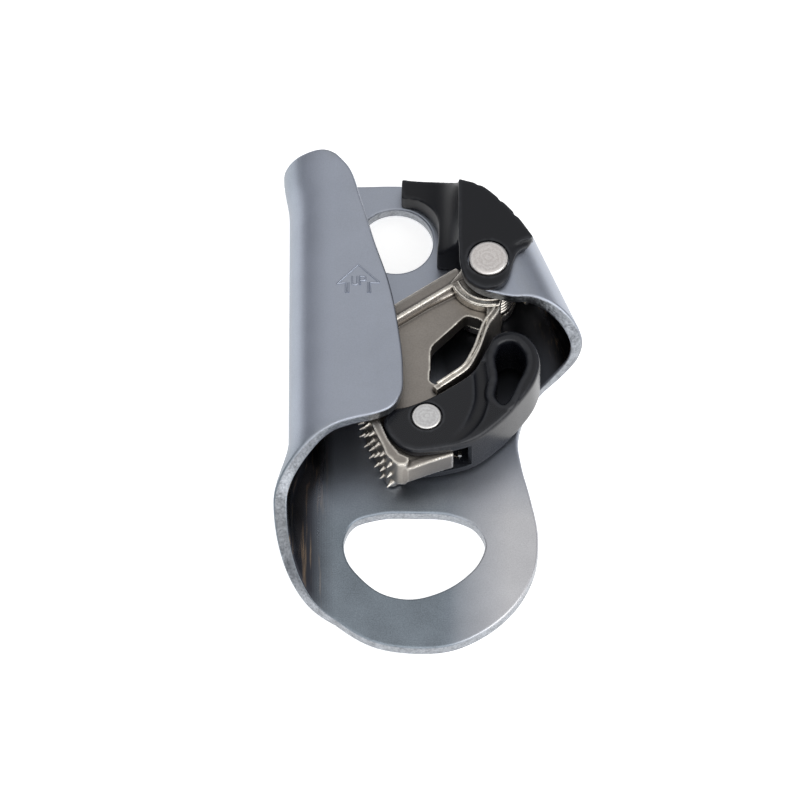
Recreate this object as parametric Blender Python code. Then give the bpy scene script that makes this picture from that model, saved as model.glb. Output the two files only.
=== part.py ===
"""Toothed-cam rope clamp in a bent aluminium frame.

Millimetres in the tables and helpers, metres in the scene. The frame's back plate lies on Z = 0,
the rope runs along Y in the channel on the left, and the cam turns about an axle along Z.
"""

import math

import bmesh
import bpy
from mathutils import Matrix, Vector

MM = 0.001
BELOW = -1.0  # clear of the part, for the ends of cutters
ABOVE = 30.0

# Fits
GAP = 0.3  # clearance between pieces that touch on the real clamp
STEP = 1.7  # length of one chord along a smooth outline
ROUND_SIDES = 32

# Frame sheet
SHEET = 2.6
SHEET_EDGE = 0.45  # rounding of the tumbled edges
INNER_GAP = 11.8  # from the plate to the lip and the ear
BEND_IN = INNER_GAP / 2
BEND_OUT = BEND_IN + SHEET
BEND_MID = BEND_IN + SHEET / 2
BEND_Z = SHEET + BEND_IN
FRONT_Z = BEND_Z + BEND_OUT
BEND_STEPS = 12
CHANNEL_X = -16.8  # where the plate turns up into the rope channel
FLARE = 2.8  # how far the channel's mouth opens outwards
FLARE_TOP = 1.1
FOLD_DEG = 22.8  # direction in which the right side folds up
FOLD_OUT = 22.8  # distance of that fold from the origin

# Holes in the plate
UPPER_EYE = (-5.7, 37.5)
UPPER_EYE_R = 6.85

# Cam axle
AXLE = (11.3, 24.0)
AXLE_R = 2.5
AXLE_HEAD_R = 3.6
AXLE_HEAD = 1.7
SINK_R = 4.0
SINK = 1.4
BUSH_R = 3.6

# Cam
CAM_LOW = SHEET + 0.5
CAM_HIGH = SHEET + INNER_GAP - 0.7
WEB = 3.4
WEB_HIGH = CAM_HIGH - 2.1
WEB_LOW = WEB_HIGH - WEB
HUB_R = 7.4
HUB_SMALL_R = 5.1  # on the side that faces the fold
HUB_CHEEK = 2.1
SPRING_ROOM_R = 5.8
BAR_HIGH = CAM_HIGH - 2.0
BAR_LOW = BAR_HIGH - 4.7
NOSE_LOW = CAM_LOW + 3.2
TOOTH_R = 0.62
TOOTH_TIP_R = 0.12
TOOTH_HIGH = 1.3
TOOTH_ROOT = 0.5  # sunk into the strip
TOOTH_LEAN = 0.45
TOOTH_PITCH = 2.3
TOOTH_ROWS = 4

# Catch
PIN = (-0.1, -7.0)
PIN_R = 1.6
PIN_HEAD_R = 2.7
PIN_HEAD = 1.1
PIN_TAIL_R = 2.3
PIN_TAIL = 0.95
CATCH_LOW = SHEET + 0.7
CATCH_HIGH = SHEET + INNER_GAP - 0.5
PIN_TOP = CATCH_HIGH + 0.2
CHEEK_LOW_TOP = CATCH_LOW + 2.1
CHEEK_HIGH_BASE = CATCH_HIGH - 1.9
CATCH_EDGE = 0.6
POCKET_R = 9.0  # the stop bar slides round inside this as the catch is pulled

# Springs
CAM_WIRE_R = 0.45
CAM_COIL_R = 4.7
CAM_COIL_TURNS = 5.483
CAM_COIL_END_DEG = 215.0
CATCH_WIRE_R = 0.35
CATCH_COIL_R = 2.4
CATCH_COIL_TURNS = 2.0

# Grip cover
COVER_SHELL = 1.3
COVER_STEP_X = 5.8  # the upright step beside the upper eye
SLAB_TOP = 6.4
SCOOP_R = 9.0
NOTCH_R = 0.8
COVER_TOP = FRONT_Z + GAP + COVER_SHELL + 0.05


def clear_scene():
    for obj in list(bpy.data.objects):
        bpy.data.objects.remove(obj)


def collection(name, hidden=False):
    made = bpy.data.collections.new(name)
    bpy.context.scene.collection.children.link(made)
    made.hide_render = hidden
    return made


def material(name, colour, metallic, roughness):
    made = bpy.data.materials.new(name)
    made.use_nodes = True
    shader = made.node_tree.nodes["Principled BSDF"]
    shader.inputs["Base Color"].default_value = (*colour, 1.0)
    shader.inputs["Metallic"].default_value = metallic
    shader.inputs["Roughness"].default_value = roughness
    return made


def add(name, mesh, group, finish=None):
    obj = bpy.data.objects.new(name, mesh)
    group.objects.link(obj)
    if finish:
        mesh.materials.clear()
        mesh.materials.append(finish)
    if group is CUTTERS:
        obj.hide_render = True
        obj.display_type = "WIRE"
    return obj


# Outlines


def smooth(points, step=STEP):
    """A closed line through the points. A point with a third value stays a sharp corner."""
    spots = [Vector(point[:2]) for point in points]
    sharp = [len(point) > 2 for point in points]
    count = len(spots)

    def slope(i, leaving):
        before = spots[i] - spots[i - 1]
        after = spots[(i + 1) % count] - spots[i]
        if sharp[i]:
            return (after if leaving else before).normalized()
        a, b = before.length, after.length
        return (before * b / a + after * a / b) / (a + b)

    line = []
    for i in range(count):
        j = (i + 1) % count
        start, end = spots[i], spots[j]
        length = (end - start).length
        parts = max(1, round(length / step))
        rise, fall = slope(i, True) * length, slope(j, False) * length
        for k in range(parts):
            t = k / parts
            line.append(
                start * (2 * t**3 - 3 * t**2 + 1)
                + rise * (t**3 - 2 * t**2 + t)
                + end * (3 * t**2 - 2 * t**3)
                + fall * (t**3 - t**2)
            )
    return line


def filleted(corners, parts=4):
    """A closed line of straight edges with each (x, y, radius) corner rounded."""
    line = []
    for i, (x, y, radius) in enumerate(corners):
        spot = Vector((x, y))
        back = (Vector(corners[i - 1][:2]) - spot).normalized()
        ahead = (Vector(corners[(i + 1) % len(corners)][:2]) - spot).normalized()
        half = back.angle(ahead) / 2
        centre = spot + (back + ahead).normalized() * radius / math.sin(half)
        start = spot + back * radius / math.tan(half) - centre
        end = spot + ahead * radius / math.tan(half) - centre
        sweep = start.angle_signed(end)
        for k in range(parts + 1):
            angle = -sweep * k / parts
            line.append(centre + Matrix.Rotation(angle, 2) @ start)
    return line


def polar(centre, radius, degrees):
    angle = math.radians(degrees)
    return (centre[0] + radius * math.cos(angle), centre[1] + radius * math.sin(angle))


def ring(centre, radius, sides=ROUND_SIDES):
    return [Vector(polar(centre, radius, 360 * k / sides)) for k in range(sides)]


def prism(loops, low, high, edge=0.0, grow=0.0, facets=1):
    """The mesh of flat outlines, the first outside and the rest holes, with rounded edges."""
    curve = bpy.data.curves.new("outline", "CURVE")
    curve.dimensions = "2D"
    curve.fill_mode = "BOTH"
    curve.extrude = ((high - low) / 2 - edge) * MM
    curve.bevel_depth = edge * MM
    curve.bevel_resolution = facets
    curve.offset = (grow - edge) * MM
    for loop in loops:
        spline = curve.splines.new("POLY")
        spline.points.add(len(loop) - 1)
        for place, spot in zip(spline.points, loop):
            place.co = (spot[0] * MM, spot[1] * MM, 0.0, 1.0)
        spline.use_cyclic_u = True
    guide = bpy.data.objects.new("outline", curve)
    bpy.context.scene.collection.objects.link(guide)
    graph = bpy.context.evaluated_depsgraph_get()
    mesh = bpy.data.meshes.new_from_object(guide.evaluated_get(graph))
    bpy.data.objects.remove(guide)
    mesh.transform(Matrix.Translation((0.0, 0.0, (low + high) / 2 * MM)))
    return cleaned(mesh)


def cleaned(mesh, flip=False):
    made = bmesh.new()
    made.from_mesh(mesh)
    bmesh.ops.remove_doubles(made, verts=made.verts, dist=0.002 * MM)
    bmesh.ops.recalc_face_normals(made, faces=made.faces)
    if made.calc_volume(signed=True) < 0:
        bmesh.ops.reverse_faces(made, faces=made.faces)
    made.to_mesh(mesh)
    made.free()
    return mesh


def turned(profile, centre, sides=ROUND_SIDES):
    """A closed round body about an upright axis, from (radius, z) pairs at +X, top to bottom."""
    made = bmesh.new()
    spots = [made.verts.new((r * MM, 0.0, z * MM)) for r, z in profile]
    edges = [made.edges.new(pair) for pair in zip(spots, spots[1:])]
    if profile[0][0] > 0:
        edges.append(made.edges.new((spots[-1], spots[0])))
    bmesh.ops.spin(
        made,
        geom=edges,
        axis=(0.0, 0.0, 1.0),
        cent=(0.0, 0.0, 0.0),
        angle=math.tau,
        steps=sides,
        use_merge=True,
    )
    bmesh.ops.translate(made, verts=made.verts, vec=(centre[0] * MM, centre[1] * MM, 0.0))
    mesh = bpy.data.meshes.new("turned")
    made.to_mesh(mesh)
    made.free()
    return cleaned(mesh)


def rod(start, end, radius, sides=ROUND_SIDES):
    """A round bar between two points."""
    a, b = Vector(start) * MM, Vector(end) * MM
    made = bmesh.new()
    bmesh.ops.create_cone(
        made,
        cap_ends=True,
        segments=sides,
        radius1=radius * MM,
        radius2=radius * MM,
        depth=(b - a).length,
    )
    lean = Vector((0.0, 0.0, 1.0)).rotation_difference(b - a).to_matrix().to_4x4()
    mesh = bpy.data.meshes.new("rod")
    made.to_mesh(mesh)
    made.free()
    mesh.transform(Matrix.Translation((a + b) / 2) @ lean)
    return mesh


def loft(levels):
    """A closed body through outlines of equal length, given as (z, points) from low to high."""
    made = bmesh.new()
    rows = [[made.verts.new((p[0] * MM, p[1] * MM, z * MM)) for p in line] for z, line in levels]
    for lower, upper in zip(rows, rows[1:]):
        for i in range(len(lower)):
            j = (i + 1) % len(lower)
            made.faces.new((lower[i], lower[j], upper[j], upper[i]))
    made.faces.new(rows[0][::-1])
    made.faces.new(rows[-1])
    mesh = bpy.data.meshes.new("loft")
    made.to_mesh(mesh)
    made.free()
    return cleaned(mesh)


def wire(points, radius, name):
    """A closed round wire along a line of points."""
    curve = bpy.data.curves.new(name, "CURVE")
    curve.dimensions = "3D"
    curve.bevel_depth = radius * MM
    curve.bevel_resolution = 1
    curve.use_fill_caps = True
    spline = curve.splines.new("POLY")
    spline.points.add(len(points) - 1)
    for place, spot in zip(spline.points, points):
        place.co = (spot[0] * MM, spot[1] * MM, spot[2] * MM, 1.0)
    guide = bpy.data.objects.new(name, curve)
    bpy.context.scene.collection.objects.link(guide)
    graph = bpy.context.evaluated_depsgraph_get()
    mesh = bpy.data.meshes.new_from_object(guide.evaluated_get(graph))
    bpy.data.objects.remove(guide)
    return cleaned(mesh)


def coil(centre, radius, low, high, turns, start_deg, steps=16):
    count = round(turns * steps)
    spots = []
    for k in range(count + 1):
        x, y = polar(centre, radius, start_deg + 360 * turns * k / count)
        spots.append((x, y, low + (high - low) * k / count))
    return spots


def carve(obj, mesh, operation="DIFFERENCE", solver="EXACT"):
    """Adds or removes a body, kept in the hidden collection, with a Boolean."""
    tool = add(f"{obj.name}_tool_{len(obj.modifiers)}", mesh, CUTTERS)
    step = obj.modifiers.new(tool.name, "BOOLEAN")
    step.operation = operation
    step.solver = solver
    step.object = tool


def drill(obj, centre, radius, low=BELOW, high=ABOVE):
    """Cuts a round upright hole."""
    carve(obj, turned([(0, high), (radius, high), (radius, low), (0, low)], centre))


def set_origin(obj, centre):
    """Puts the origin on the piece's turning axis."""
    shift = Vector((centre[0] * MM, centre[1] * MM, 0.0))
    obj.data.transform(Matrix.Translation(-shift))
    obj.location = shift


# The bent sheet

FOLD = (math.cos(math.radians(FOLD_DEG)), math.sin(math.radians(FOLD_DEG)))


def lip(x, y):
    """Flat-blank place of a point on the lip over the rope."""
    return (2 * CHANNEL_X - math.pi * BEND_MID - x, y)


def wall(degrees, y):
    return (CHANNEL_X - BEND_MID * math.radians(degrees), y)


def fold_point(out, along):
    return (out * FOLD[0] - along * FOLD[1], out * FOLD[1] + along * FOLD[0])


def side(degrees, along):
    """Flat-blank place of a point on the folded right side."""
    return fold_point(FOLD_OUT + BEND_MID * math.radians(degrees), along)


def ear(x, y):
    out = x * FOLD[0] + y * FOLD[1]
    along = y * FOLD[0] - x * FOLD[1]
    return fold_point(2 * FOLD_OUT + math.pi * BEND_MID - out, along)


def flare(y):
    low = min(max((-9.0 - y) / 13.0, 0.0), 1.0)
    high = min(max((y - 38.0) / 9.0, 0.0), 1.0)
    return FLARE * low * low * (3 - 2 * low) + FLARE_TOP * high * high * (3 - 2 * high)


def bend(mesh):
    """Rolls a flat blank, drawn about the sheet's middle, into the channel and the folded side."""
    made = bmesh.new()
    made.from_mesh(mesh)
    bmesh.ops.dissolve_limit(made, angle_limit=0.01, verts=[], edges=made.edges)
    arc = math.pi * BEND_MID

    def slit(point, normal, zone):
        faces = [face for face in made.faces if zone(face)]
        parts = {item for face in faces for item in (*face.verts, *face.edges, face)}
        bmesh.ops.bisect_plane(
            made,
            geom=list(parts),
            dist=1e-7,
            plane_co=(point[0] * MM, point[1] * MM, 0.0),
            plane_no=(*normal, 0.0),
        )

    for k in range(BEND_STEPS + 1):
        share = arc * k / BEND_STEPS
        slit((CHANNEL_X - share, 0.0), (1.0, 0.0), lambda face: True)
        slit(fold_point(FOLD_OUT + share, 0.0), FOLD, lambda face: True)
    for y in (*range(-40, -8, 3), 40, 43, 46):
        slit(
            (0.0, y),
            (0.0, 1.0),
            lambda face: CHANNEL_X - arc < face.calc_center_median().x / MM < CHANNEL_X,
        )
    for vert in made.verts:
        x, y, z = vert.co / MM
        radius = BEND_MID - z
        rolled = CHANNEL_X - x
        folded = x * FOLD[0] + y * FOLD[1] - FOLD_OUT
        height = SHEET / 2 + z
        if rolled > 0:
            turn = min(rolled / BEND_MID, math.pi)
            x = CHANNEL_X - (radius + flare(y)) * math.sin(turn) + max(rolled - arc, 0.0)
            height = BEND_Z - radius * math.cos(turn)
        elif folded > 0:
            turn = min(folded / BEND_MID, math.pi)
            out = FOLD_OUT + radius * math.sin(turn) - max(folded - arc, 0.0)
            x, y = fold_point(out, y * FOLD[0] - x * FOLD[1])
            height = BEND_Z - radius * math.cos(turn)
        vert.co = Vector((x, y, height)) * MM
    bmesh.ops.triangulate(made, faces=made.faces)
    made.to_mesh(mesh)
    made.free()
    return cleaned(mesh)


BLANK = [
    lip(-4.7, -3.6),
    lip(-6.6, -6.8),
    lip(-9.6, -8.2),
    lip(-12.9, -9.0),
    lip(-16.4, -10.2),
    wall(160, -12.0),
    wall(138, -14.6),
    wall(115, -18.2),
    wall(92, -22.8),
    wall(70, -29.2),
    wall(46, -35.8),
    wall(22, -40.6),
    (-16.2, -43.9),
    (-9.9, -48.0),
    (-2.6, -49.4),
    (4.6, -48.8),
    (11.4, -45.2),
    (16.8, -39.4),
    (19.8, -32.4),
    (20.3, -25.4),
    (18.9, -17.4),
    (17.3, -10.6),
    (16.7, -5.6),
    (17.7, -0.4),
    (20.0, 4.3),
    side(6, -2.0),
    side(32, -1.0),
    side(62, -0.4),
    side(92, 0.6),
    side(120, 3.2),
    side(150, 6.4),
    side(176, 8.6),
    ear(16.4, 16.9),
    ear(12.6, 17.6),
    ear(9.2, 18.9),
    ear(6.9, 21.4),
    ear(6.3, 24.6),
    ear(6.6, 29.0),
    ear(9.0, 30.8),
    side(172, 23.4),
    side(130, 23.4),
    side(90, 23.8),
    side(56, 25.4),
    side(28, 29.0),
    side(4, 34.6),
    (5.2, 45.4),
    (1.2, 48.6),
    (-4.0, 49.5),
    (-11.0, 49.5),
    wall(6, 49.3),
    wall(60, 48.2),
    wall(100, 48.0),
    wall(140, 48.8),
    lip(-18.4, 48.9),
    lip(-15.0, 45.9),
    lip(-12.0, 37.6),
    lip(-9.6, 28.8),
    lip(-7.0, 20.2),
    lip(-5.1, 9.5),
    lip(-4.4, 1.4),
]

LOWER_EYE = [
    (-15.2, -27.0),
    (-13.4, -22.9),
    (-9.0, -21.2),
    (-2.0, -20.9),
    (4.4, -21.4),
    (8.8, -23.6),
    (10.6, -27.3),
    (9.6, -31.0),
    (6.6, -34.7),
    (2.2, -37.6),
    (-3.2, -39.0),
    (-8.4, -37.7),
    (-12.2, -34.4),
    (-14.6, -30.8),
]


def sheet(grow, step=STEP):
    """The bent frame, or, grown by a clearance, the room that it takes in the cover."""
    loops = [smooth(BLANK, step), smooth(LOWER_EYE, step), ring(UPPER_EYE, UPPER_EYE_R)]
    edge = SHEET_EDGE
    if grow:
        loops, edge = loops[:1], 0.0
    half = SHEET / 2 + grow
    return bend(prism(loops, -half, half, edge, grow, 0))


def build_frame(finish):
    obj = add("frame", sheet(0.0), OBJECT, finish)
    drill(obj, AXLE, AXLE_R + GAP)
    sink = SINK_R + GAP
    cone = [(0, SINK + GAP), (AXLE_R, SINK + GAP), (sink, -0.01), (sink, BELOW), (0, BELOW)]
    carve(obj, turned(cone, AXLE))
    return obj


# Axle, bush and pin


def build_axle(finish):
    head = FRONT_Z + GAP
    top = head + AXLE_HEAD
    profile = [
        (0, top),
        (AXLE_HEAD_R - 0.5, top),
        (AXLE_HEAD_R - 0.15, top - 0.15),
        (AXLE_HEAD_R, top - 0.5),
        (AXLE_HEAD_R, head),
        (AXLE_R, head),
        (AXLE_R, SINK),
        (SINK_R, 0.02),
        (0, 0.02),
    ]
    return add("cam_axle", turned(profile, AXLE), OBJECT, finish)


def build_bush(finish):
    low, high = SHEET + GAP, SHEET + INNER_GAP - GAP
    inner = AXLE_R + GAP
    profile = [(BUSH_R, high), (BUSH_R, low), (inner, low), (inner, high)]
    return add("cam_bush", turned(profile, AXLE), OBJECT, finish)


def build_pin(finish):
    neck, shoulder = PIN_TOP - PIN_HEAD, CATCH_LOW + PIN_TAIL
    profile = [
        (0, PIN_TOP),
        (PIN_HEAD_R - 0.35, PIN_TOP),
        (PIN_HEAD_R, PIN_TOP - 0.3),
        (PIN_HEAD_R, neck),
        (PIN_R, neck),
        (PIN_R, shoulder),
        (PIN_TAIL_R, shoulder),
        (PIN_TAIL_R, CATCH_LOW),
        (0, CATCH_LOW),
    ]
    return add("catch_pin", turned(profile, PIN), OBJECT, finish)


# Cam

FACE = [
    (-10.3, 13.5),
    (-11.0, 8.0),
    (-11.5, 2.0),
    (-11.6, -2.5),
    (-11.2, -5.9),
    (-10.0, -8.9),
    (-8.4, -12.5),
    (-6.6, -15.7),
]

WINDOW = [  # corners and the radius of each
    (0.5, 1.5, 0.9),
    (0.8, 9.2, 2.5),
    (7.2, 15.9, 1.2),
    (10.3, 14.9, 1.0),
    (9.9, 11.4, 2.0),
    (5.6, 3.9, 3.0),
    (2.2, 1.3, 0.8),
]

WEB_LINE = [
    (6.6, 25.4, 1),
    (-5.4, 16.5, 1),
    (-10.1, 13.2, 1),
    (-10.8, 8.0),
    (-11.3, 2.0),
    (-11.4, -2.5),
    (-11.0, -5.8),
    (-9.8, -8.8),
    (-8.2, -12.4),
    (-6.4, -15.6, 1),
    (-3.5, -16.2, 1),
    (2.2, -13.8, 1),
    (3.2, -10.4),
    (4.3, -7.0),
    (4.7, -2.6),
    (5.0, 1.4),
    (7.5, 3.9),
    (9.1, 7.0),
    (11.3, 13.2),
    (13.0, 17.0, 1),
    (11.3, 24.0, 1),
]

FLANGE = [
    (8.0, 26.6, 1),
    (-5.5, 16.9, 1),
    (-10.6, 13.5, 1),
    (-11.0, 10.9, 1),
    (-9.0, 11.4, 1),
    (-5.0, 14.2, 1),
    (7.0, 21.2, 1),
]

STRIP = FACE + [
    (-6.0, -15.7, 1),
    (-4.8, -15.0, 1),
    (-6.9, -12.0),
    (-8.4, -8.4),
    (-9.6, -5.4),
    (-9.9, -2.3),
    (-9.8, 2.0),
    (-9.3, 8.0),
    (-8.4, 12.9, 1),
]

RIB = [
    (13.6, 17.0),
    (11.7, 13.2),
    (9.5, 6.8),
    (7.7, 3.5),
    (5.0, 1.2),
    (1.8, -1.2, 1),
    (1.0, -0.2, 1),
    (3.3, 1.2),
    (6.6, 4.1),
    (9.1, 8.1),
    (10.7, 12.9),
    (11.0, 17.6, 1),
    (12.6, 19.2, 1),
]

NOSE = [
    (-7.4, -14.4, 1),
    (-6.4, -16.2),
    (-5.2, -17.1),
    (-3.8, -17.0),
    (-3.2, -15.7, 1),
    (-5.3, -14.6, 1),
]

BAR = [
    (-5.0, -16.6, 1),
    (-3.6, -17.1, 1),
    (1.7, -15.0),
    (4.8, -13.9, 1),
    (4.8, -12.5, 1),
    (1.5, -13.5),
    (-3.6, -15.6, 1),
]


def tooth_spots(step):
    """Places and outward directions of the teeth, spaced evenly along the face."""
    line = smooth(FACE + [(0.0, 0.0)], 0.2)
    first, last = (
        min(range(len(line)), key=lambda i: (line[i] - Vector(end)).length)
        for end in (FACE[0], FACE[-1])
    )
    line = line[first : last + 1]
    walked, due, spots = 0.0, step, []
    for a, b in zip(line, line[1:]):
        walked += (b - a).length
        if walked >= due:
            along = (b - a).normalized()
            spots.append((b, Vector((along.y, -along.x))))
            due += step
    return spots[:-1]


def build_teeth():
    """Spikes in staggered rows on the face, leaning down the rope."""
    made = bmesh.new()
    span = CAM_HIGH - CAM_LOW
    for row, (spot, out) in enumerate(tooth_spots(TOOTH_PITCH)):
        out = -out if out.x > 0 else out
        lean = (out + Vector((0.0, -TOOTH_LEAN))).normalized()
        count = TOOTH_ROWS - row % 2
        for k in range(count):
            z = CAM_LOW + span * (k + 0.5) / count
            root = Vector((*(spot - out * TOOTH_ROOT), z)) * MM
            axis = Vector((*lean, 0.0))
            turn = Vector((0.0, 0.0, 1.0)).rotation_difference(axis).to_matrix().to_4x4()
            high = (TOOTH_HIGH + TOOTH_ROOT) * MM
            place = Matrix.Translation(root + axis * high / 2) @ turn
            bmesh.ops.create_cone(
                made,
                cap_ends=True,
                segments=6,
                radius1=TOOTH_R * MM,
                radius2=TOOTH_TIP_R * MM,
                depth=high,
                matrix=place,
            )
    mesh = bpy.data.meshes.new("teeth")
    made.to_mesh(mesh)
    made.free()
    return mesh


def hub_line():
    """Wide where it meets the cam's body, small where it turns past the fold."""
    wide = [Vector(polar(AXLE, HUB_R, degrees)) for degrees in range(198, 289, 8)]
    small = [Vector(polar(AXLE, HUB_SMALL_R, degrees)) for degrees in range(302, 541, 11)]
    return wide + small


def build_cam(finish):
    hub = hub_line()
    obj = add("cam", prism([smooth(WEB_LINE), filleted(WINDOW)], WEB_LOW, WEB_HIGH), OBJECT, finish)
    for loop in (FLANGE, RIB, STRIP):
        carve(obj, prism([smooth(loop)], CAM_LOW, CAM_HIGH, 0.3), "UNION")
    carve(obj, prism([smooth(BAR)], BAR_LOW, BAR_HIGH, 0.2), "UNION")
    carve(obj, prism([smooth(NOSE)], NOSE_LOW, CAM_HIGH - 0.1, 0.3), "UNION")
    carve(obj, prism([ring(AXLE, SPRING_ROOM_R)], CAM_LOW + HUB_CHEEK, CAM_HIGH - HUB_CHEEK))
    carve(obj, prism([hub], CAM_LOW, CAM_LOW + HUB_CHEEK, 0.2), "UNION")
    carve(obj, prism([hub], CAM_HIGH - HUB_CHEEK, CAM_HIGH, 0.2), "UNION")
    carve(obj, build_teeth(), "UNION")
    drill(obj, AXLE, BUSH_R + GAP)
    drill(obj, PIN, PIN_R + GAP)
    end = polar(AXLE, CAM_COIL_R, CAM_COIL_END_DEG + 1)
    hook = CAM_WIRE_R + GAP
    carve(obj, rod((*end, CAM_HIGH - HUB_CHEEK - 0.5), (*end, CAM_HIGH + 1), hook, 12))
    set_origin(obj, AXLE)
    return obj


def build_cam_spring(finish):
    low = CAM_LOW + HUB_CHEEK + GAP / 2 + CAM_WIRE_R
    high = CAM_HIGH - HUB_CHEEK - GAP / 2 - CAM_WIRE_R
    start = CAM_COIL_END_DEG - 360 * CAM_COIL_TURNS
    spots = coil(AXLE, CAM_COIL_R, low, high, CAM_COIL_TURNS, start)
    first = polar(AXLE, CAM_COIL_R, start - 12)
    leg = polar(AXLE, 7.4, start - 56)
    tip = (*polar(AXLE, CAM_COIL_R, CAM_COIL_END_DEG + 2), CAM_HIGH - 0.6)
    spots = [(*leg, low), (*first, low)] + spots + [tip]
    obj = add("cam_spring", wire(spots, CAM_WIRE_R, "cam_spring"), OBJECT, finish)
    set_origin(obj, AXLE)
    return obj


# Catch

CATCH = [
    (-8.0, -7.6),
    (-7.0, -10.7),
    (-5.1, -13.0),
    (-2.6, -14.2),
    (0.4, -14.1),
    (4.6, -13.3),
    (8.4, -12.0),
    (13.4, -8.0),
    (17.2, -3.5),
    (20.0, 1.2),
    (20.8, 4.5),
    (20.2, 7.8),
    (18.3, 10.5),
    (15.0, 11.6),
    (12.3, 10.5),
    (11.0, 8.0),
    (9.9, 5.6),
    (8.1, 2.6),
    (5.3, 0.3),
    (2.0, -1.9),
    (-3.6, -4.6),
    (-6.9, -5.6),
]

LOOP_HOLE = [
    (15.6, 9.2),
    (17.8, 7.0),
    (18.2, 4.6),
    (16.8, 0.6),
    (13.6, -4.2),
    (12.7, -3.2),
    (12.9, 1.6),
    (12.6, 6.6),
    (13.5, 8.5),
]


def catch_pocket():
    """The room between the two cheeks for the cam's web, lug and stop bar as the catch turns."""
    mouth = [polar(PIN, 11.0, degrees) for degrees in range(-175, -30, 12)]
    inside = [polar(PIN, POCKET_R, degrees) for degrees in range(-32, 24, 8)]
    return [Vector(p) for p in mouth + inside + [(7.4, -1.0), (6.4, 4.0), (-14.0, 4.0)]]


def build_catch(finish):
    body = prism([smooth(CATCH), smooth(LOOP_HOLE, STEP * 0.8)], CATCH_LOW, CATCH_HIGH, CATCH_EDGE)
    obj = add("catch", body, OBJECT, finish)
    carve(obj, prism([catch_pocket()], CHEEK_LOW_TOP, CHEEK_HIGH_BASE))
    drill(obj, PIN, PIN_R + GAP)
    drill(obj, PIN, PIN_HEAD_R + GAP, low=PIN_TOP - PIN_HEAD - GAP / 2)
    drill(obj, PIN, PIN_TAIL_R + GAP, high=CATCH_LOW + PIN_TAIL + GAP / 2)
    set_origin(obj, PIN)
    return obj


def build_catch_spring(finish):
    low = CHEEK_LOW_TOP + GAP + CATCH_WIRE_R
    high = WEB_LOW - GAP - CATCH_WIRE_R
    spots = coil(PIN, CATCH_COIL_R, low, high, CATCH_COIL_TURNS, -25.0)
    out = polar(PIN, CATCH_COIL_R + 1.6, -46.0)
    leg = [(5.65, -12.7, 10.2), (5.65, -12.1, high), (*out, low)]
    tail = (*polar(PIN, CATCH_COIL_R + 1.5, 15.0), high)
    path = leg + spots + [tail]
    obj = add("catch_spring", wire(path, CATCH_WIRE_R, "catch_spring"), OBJECT, finish)
    set_origin(obj, PIN)
    return obj


# Grip cover

COVER_LOW = [
    (-4.7, 44.6, 1),
    (-2.0, 44.2),
    (0.6, 42.0),
    (2.0, 39.0),
    (2.2, 35.6),
    (1.8, 31.4, 1),
    (6.0, 30.9),
    (14.0, 32.6, 1),
    (20.2, 34.9, 1),
    (17.9, 39.4),
    (14.8, 43.6),
    (10.4, 47.4),
    (5.6, 49.2),
    (-4.6, 49.5, 1),
]

COVER_HIGH = [
    (-4.7, 44.6, 1),
    (-2.0, 44.2),
    (0.6, 42.0),
    (2.0, 39.0),
    (2.2, 35.6),
    (1.8, 31.4, 1),
    (6.0, 30.9),
    (14.4, 26.4, 1),
    (19.6, 28.6, 1),
    (16.5, 33.3),
    (13.4, 36.8),
    (9.8, 39.9),
    (6.0, 41.2),
    (-4.6, 46.5, 1),
]

SHELL = [
    ear(6.2, 22.6),
    ear(7.4, 19.6),
    ear(10.6, 17.8),
    ear(14.2, 18.9),
    ear(15.0, 20.4),
    side(160, 17.6),
    side(146, 18.4),
    side(138, 20.0),
    side(147, 23.4),
    ear(8.0, 34.5),
    ear(5.9, 33.0),
    ear(5.9, 27.0),
]

NOTCHES = [((10.6, 47.6), (9.6, 40.4)), ((15.4, 43.2), (13.9, 36.9)), ((18.3, 39.2), (16.7, 33.7))]


def matched(points, parts=3):
    """A closed line with the same number of chords in each span, whatever its length."""
    spots = smooth(points, 1e6)
    line = []
    for i, start in enumerate(spots):
        end = spots[(i + 1) % len(spots)]
        line += [start.lerp(end, k / parts) for k in range(parts)]
    return line


def build_cover(finish):
    low, high = matched(COVER_LOW), matched(COVER_HIGH)
    base = SHEET / 2
    levels = []
    for z in (base, 8.0, 14.0, COVER_TOP - 0.8, COVER_TOP):
        share = (z - base) / (COVER_TOP - base)
        levels.append((z, [a.lerp(b, share) for a, b in zip(low, high)]))
    obj = add("grip_cover", loft(levels), OBJECT, finish)
    drop = SHEET / 2 + GAP
    shell = prism([smooth(SHELL)], -drop - COVER_SHELL, -SHEET / 2, 0.35)
    carve(obj, bend(shell), "UNION", "MANIFOLD")
    for bottom, top in NOTCHES:
        carve(obj, rod((*bottom, BELOW), (*top, COVER_TOP - BELOW), NOTCH_R, 12), solver="MANIFOLD")
    scoop_x = COVER_STEP_X - SCOOP_R
    scoop_z = SLAB_TOP + SCOOP_R
    arc = [polar((scoop_x, scoop_z), SCOOP_R, degrees) for degrees in range(-90, 1, 10)]
    scoop = [(-20.0, SLAB_TOP)] + arc + [(COVER_STEP_X, ABOVE), (-20.0, ABOVE)]
    mesh = prism([[Vector(p) for p in scoop]], -60.0, -10.0)
    mesh.transform(Matrix.Rotation(math.radians(90), 4, "X"))
    carve(obj, cleaned(mesh), solver="MANIFOLD")
    carve(obj, sheet(GAP), solver="MANIFOLD")
    drill(obj, AXLE, HUB_R + 2 * GAP, high=SHEET + INNER_GAP + 0.1)
    drill(obj, AXLE, AXLE_HEAD_R + GAP, low=FRONT_Z - SHEET)
    return obj


clear_scene()
OBJECT = collection("rope_clamp")
CUTTERS = collection("cutters", hidden=True)

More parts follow.
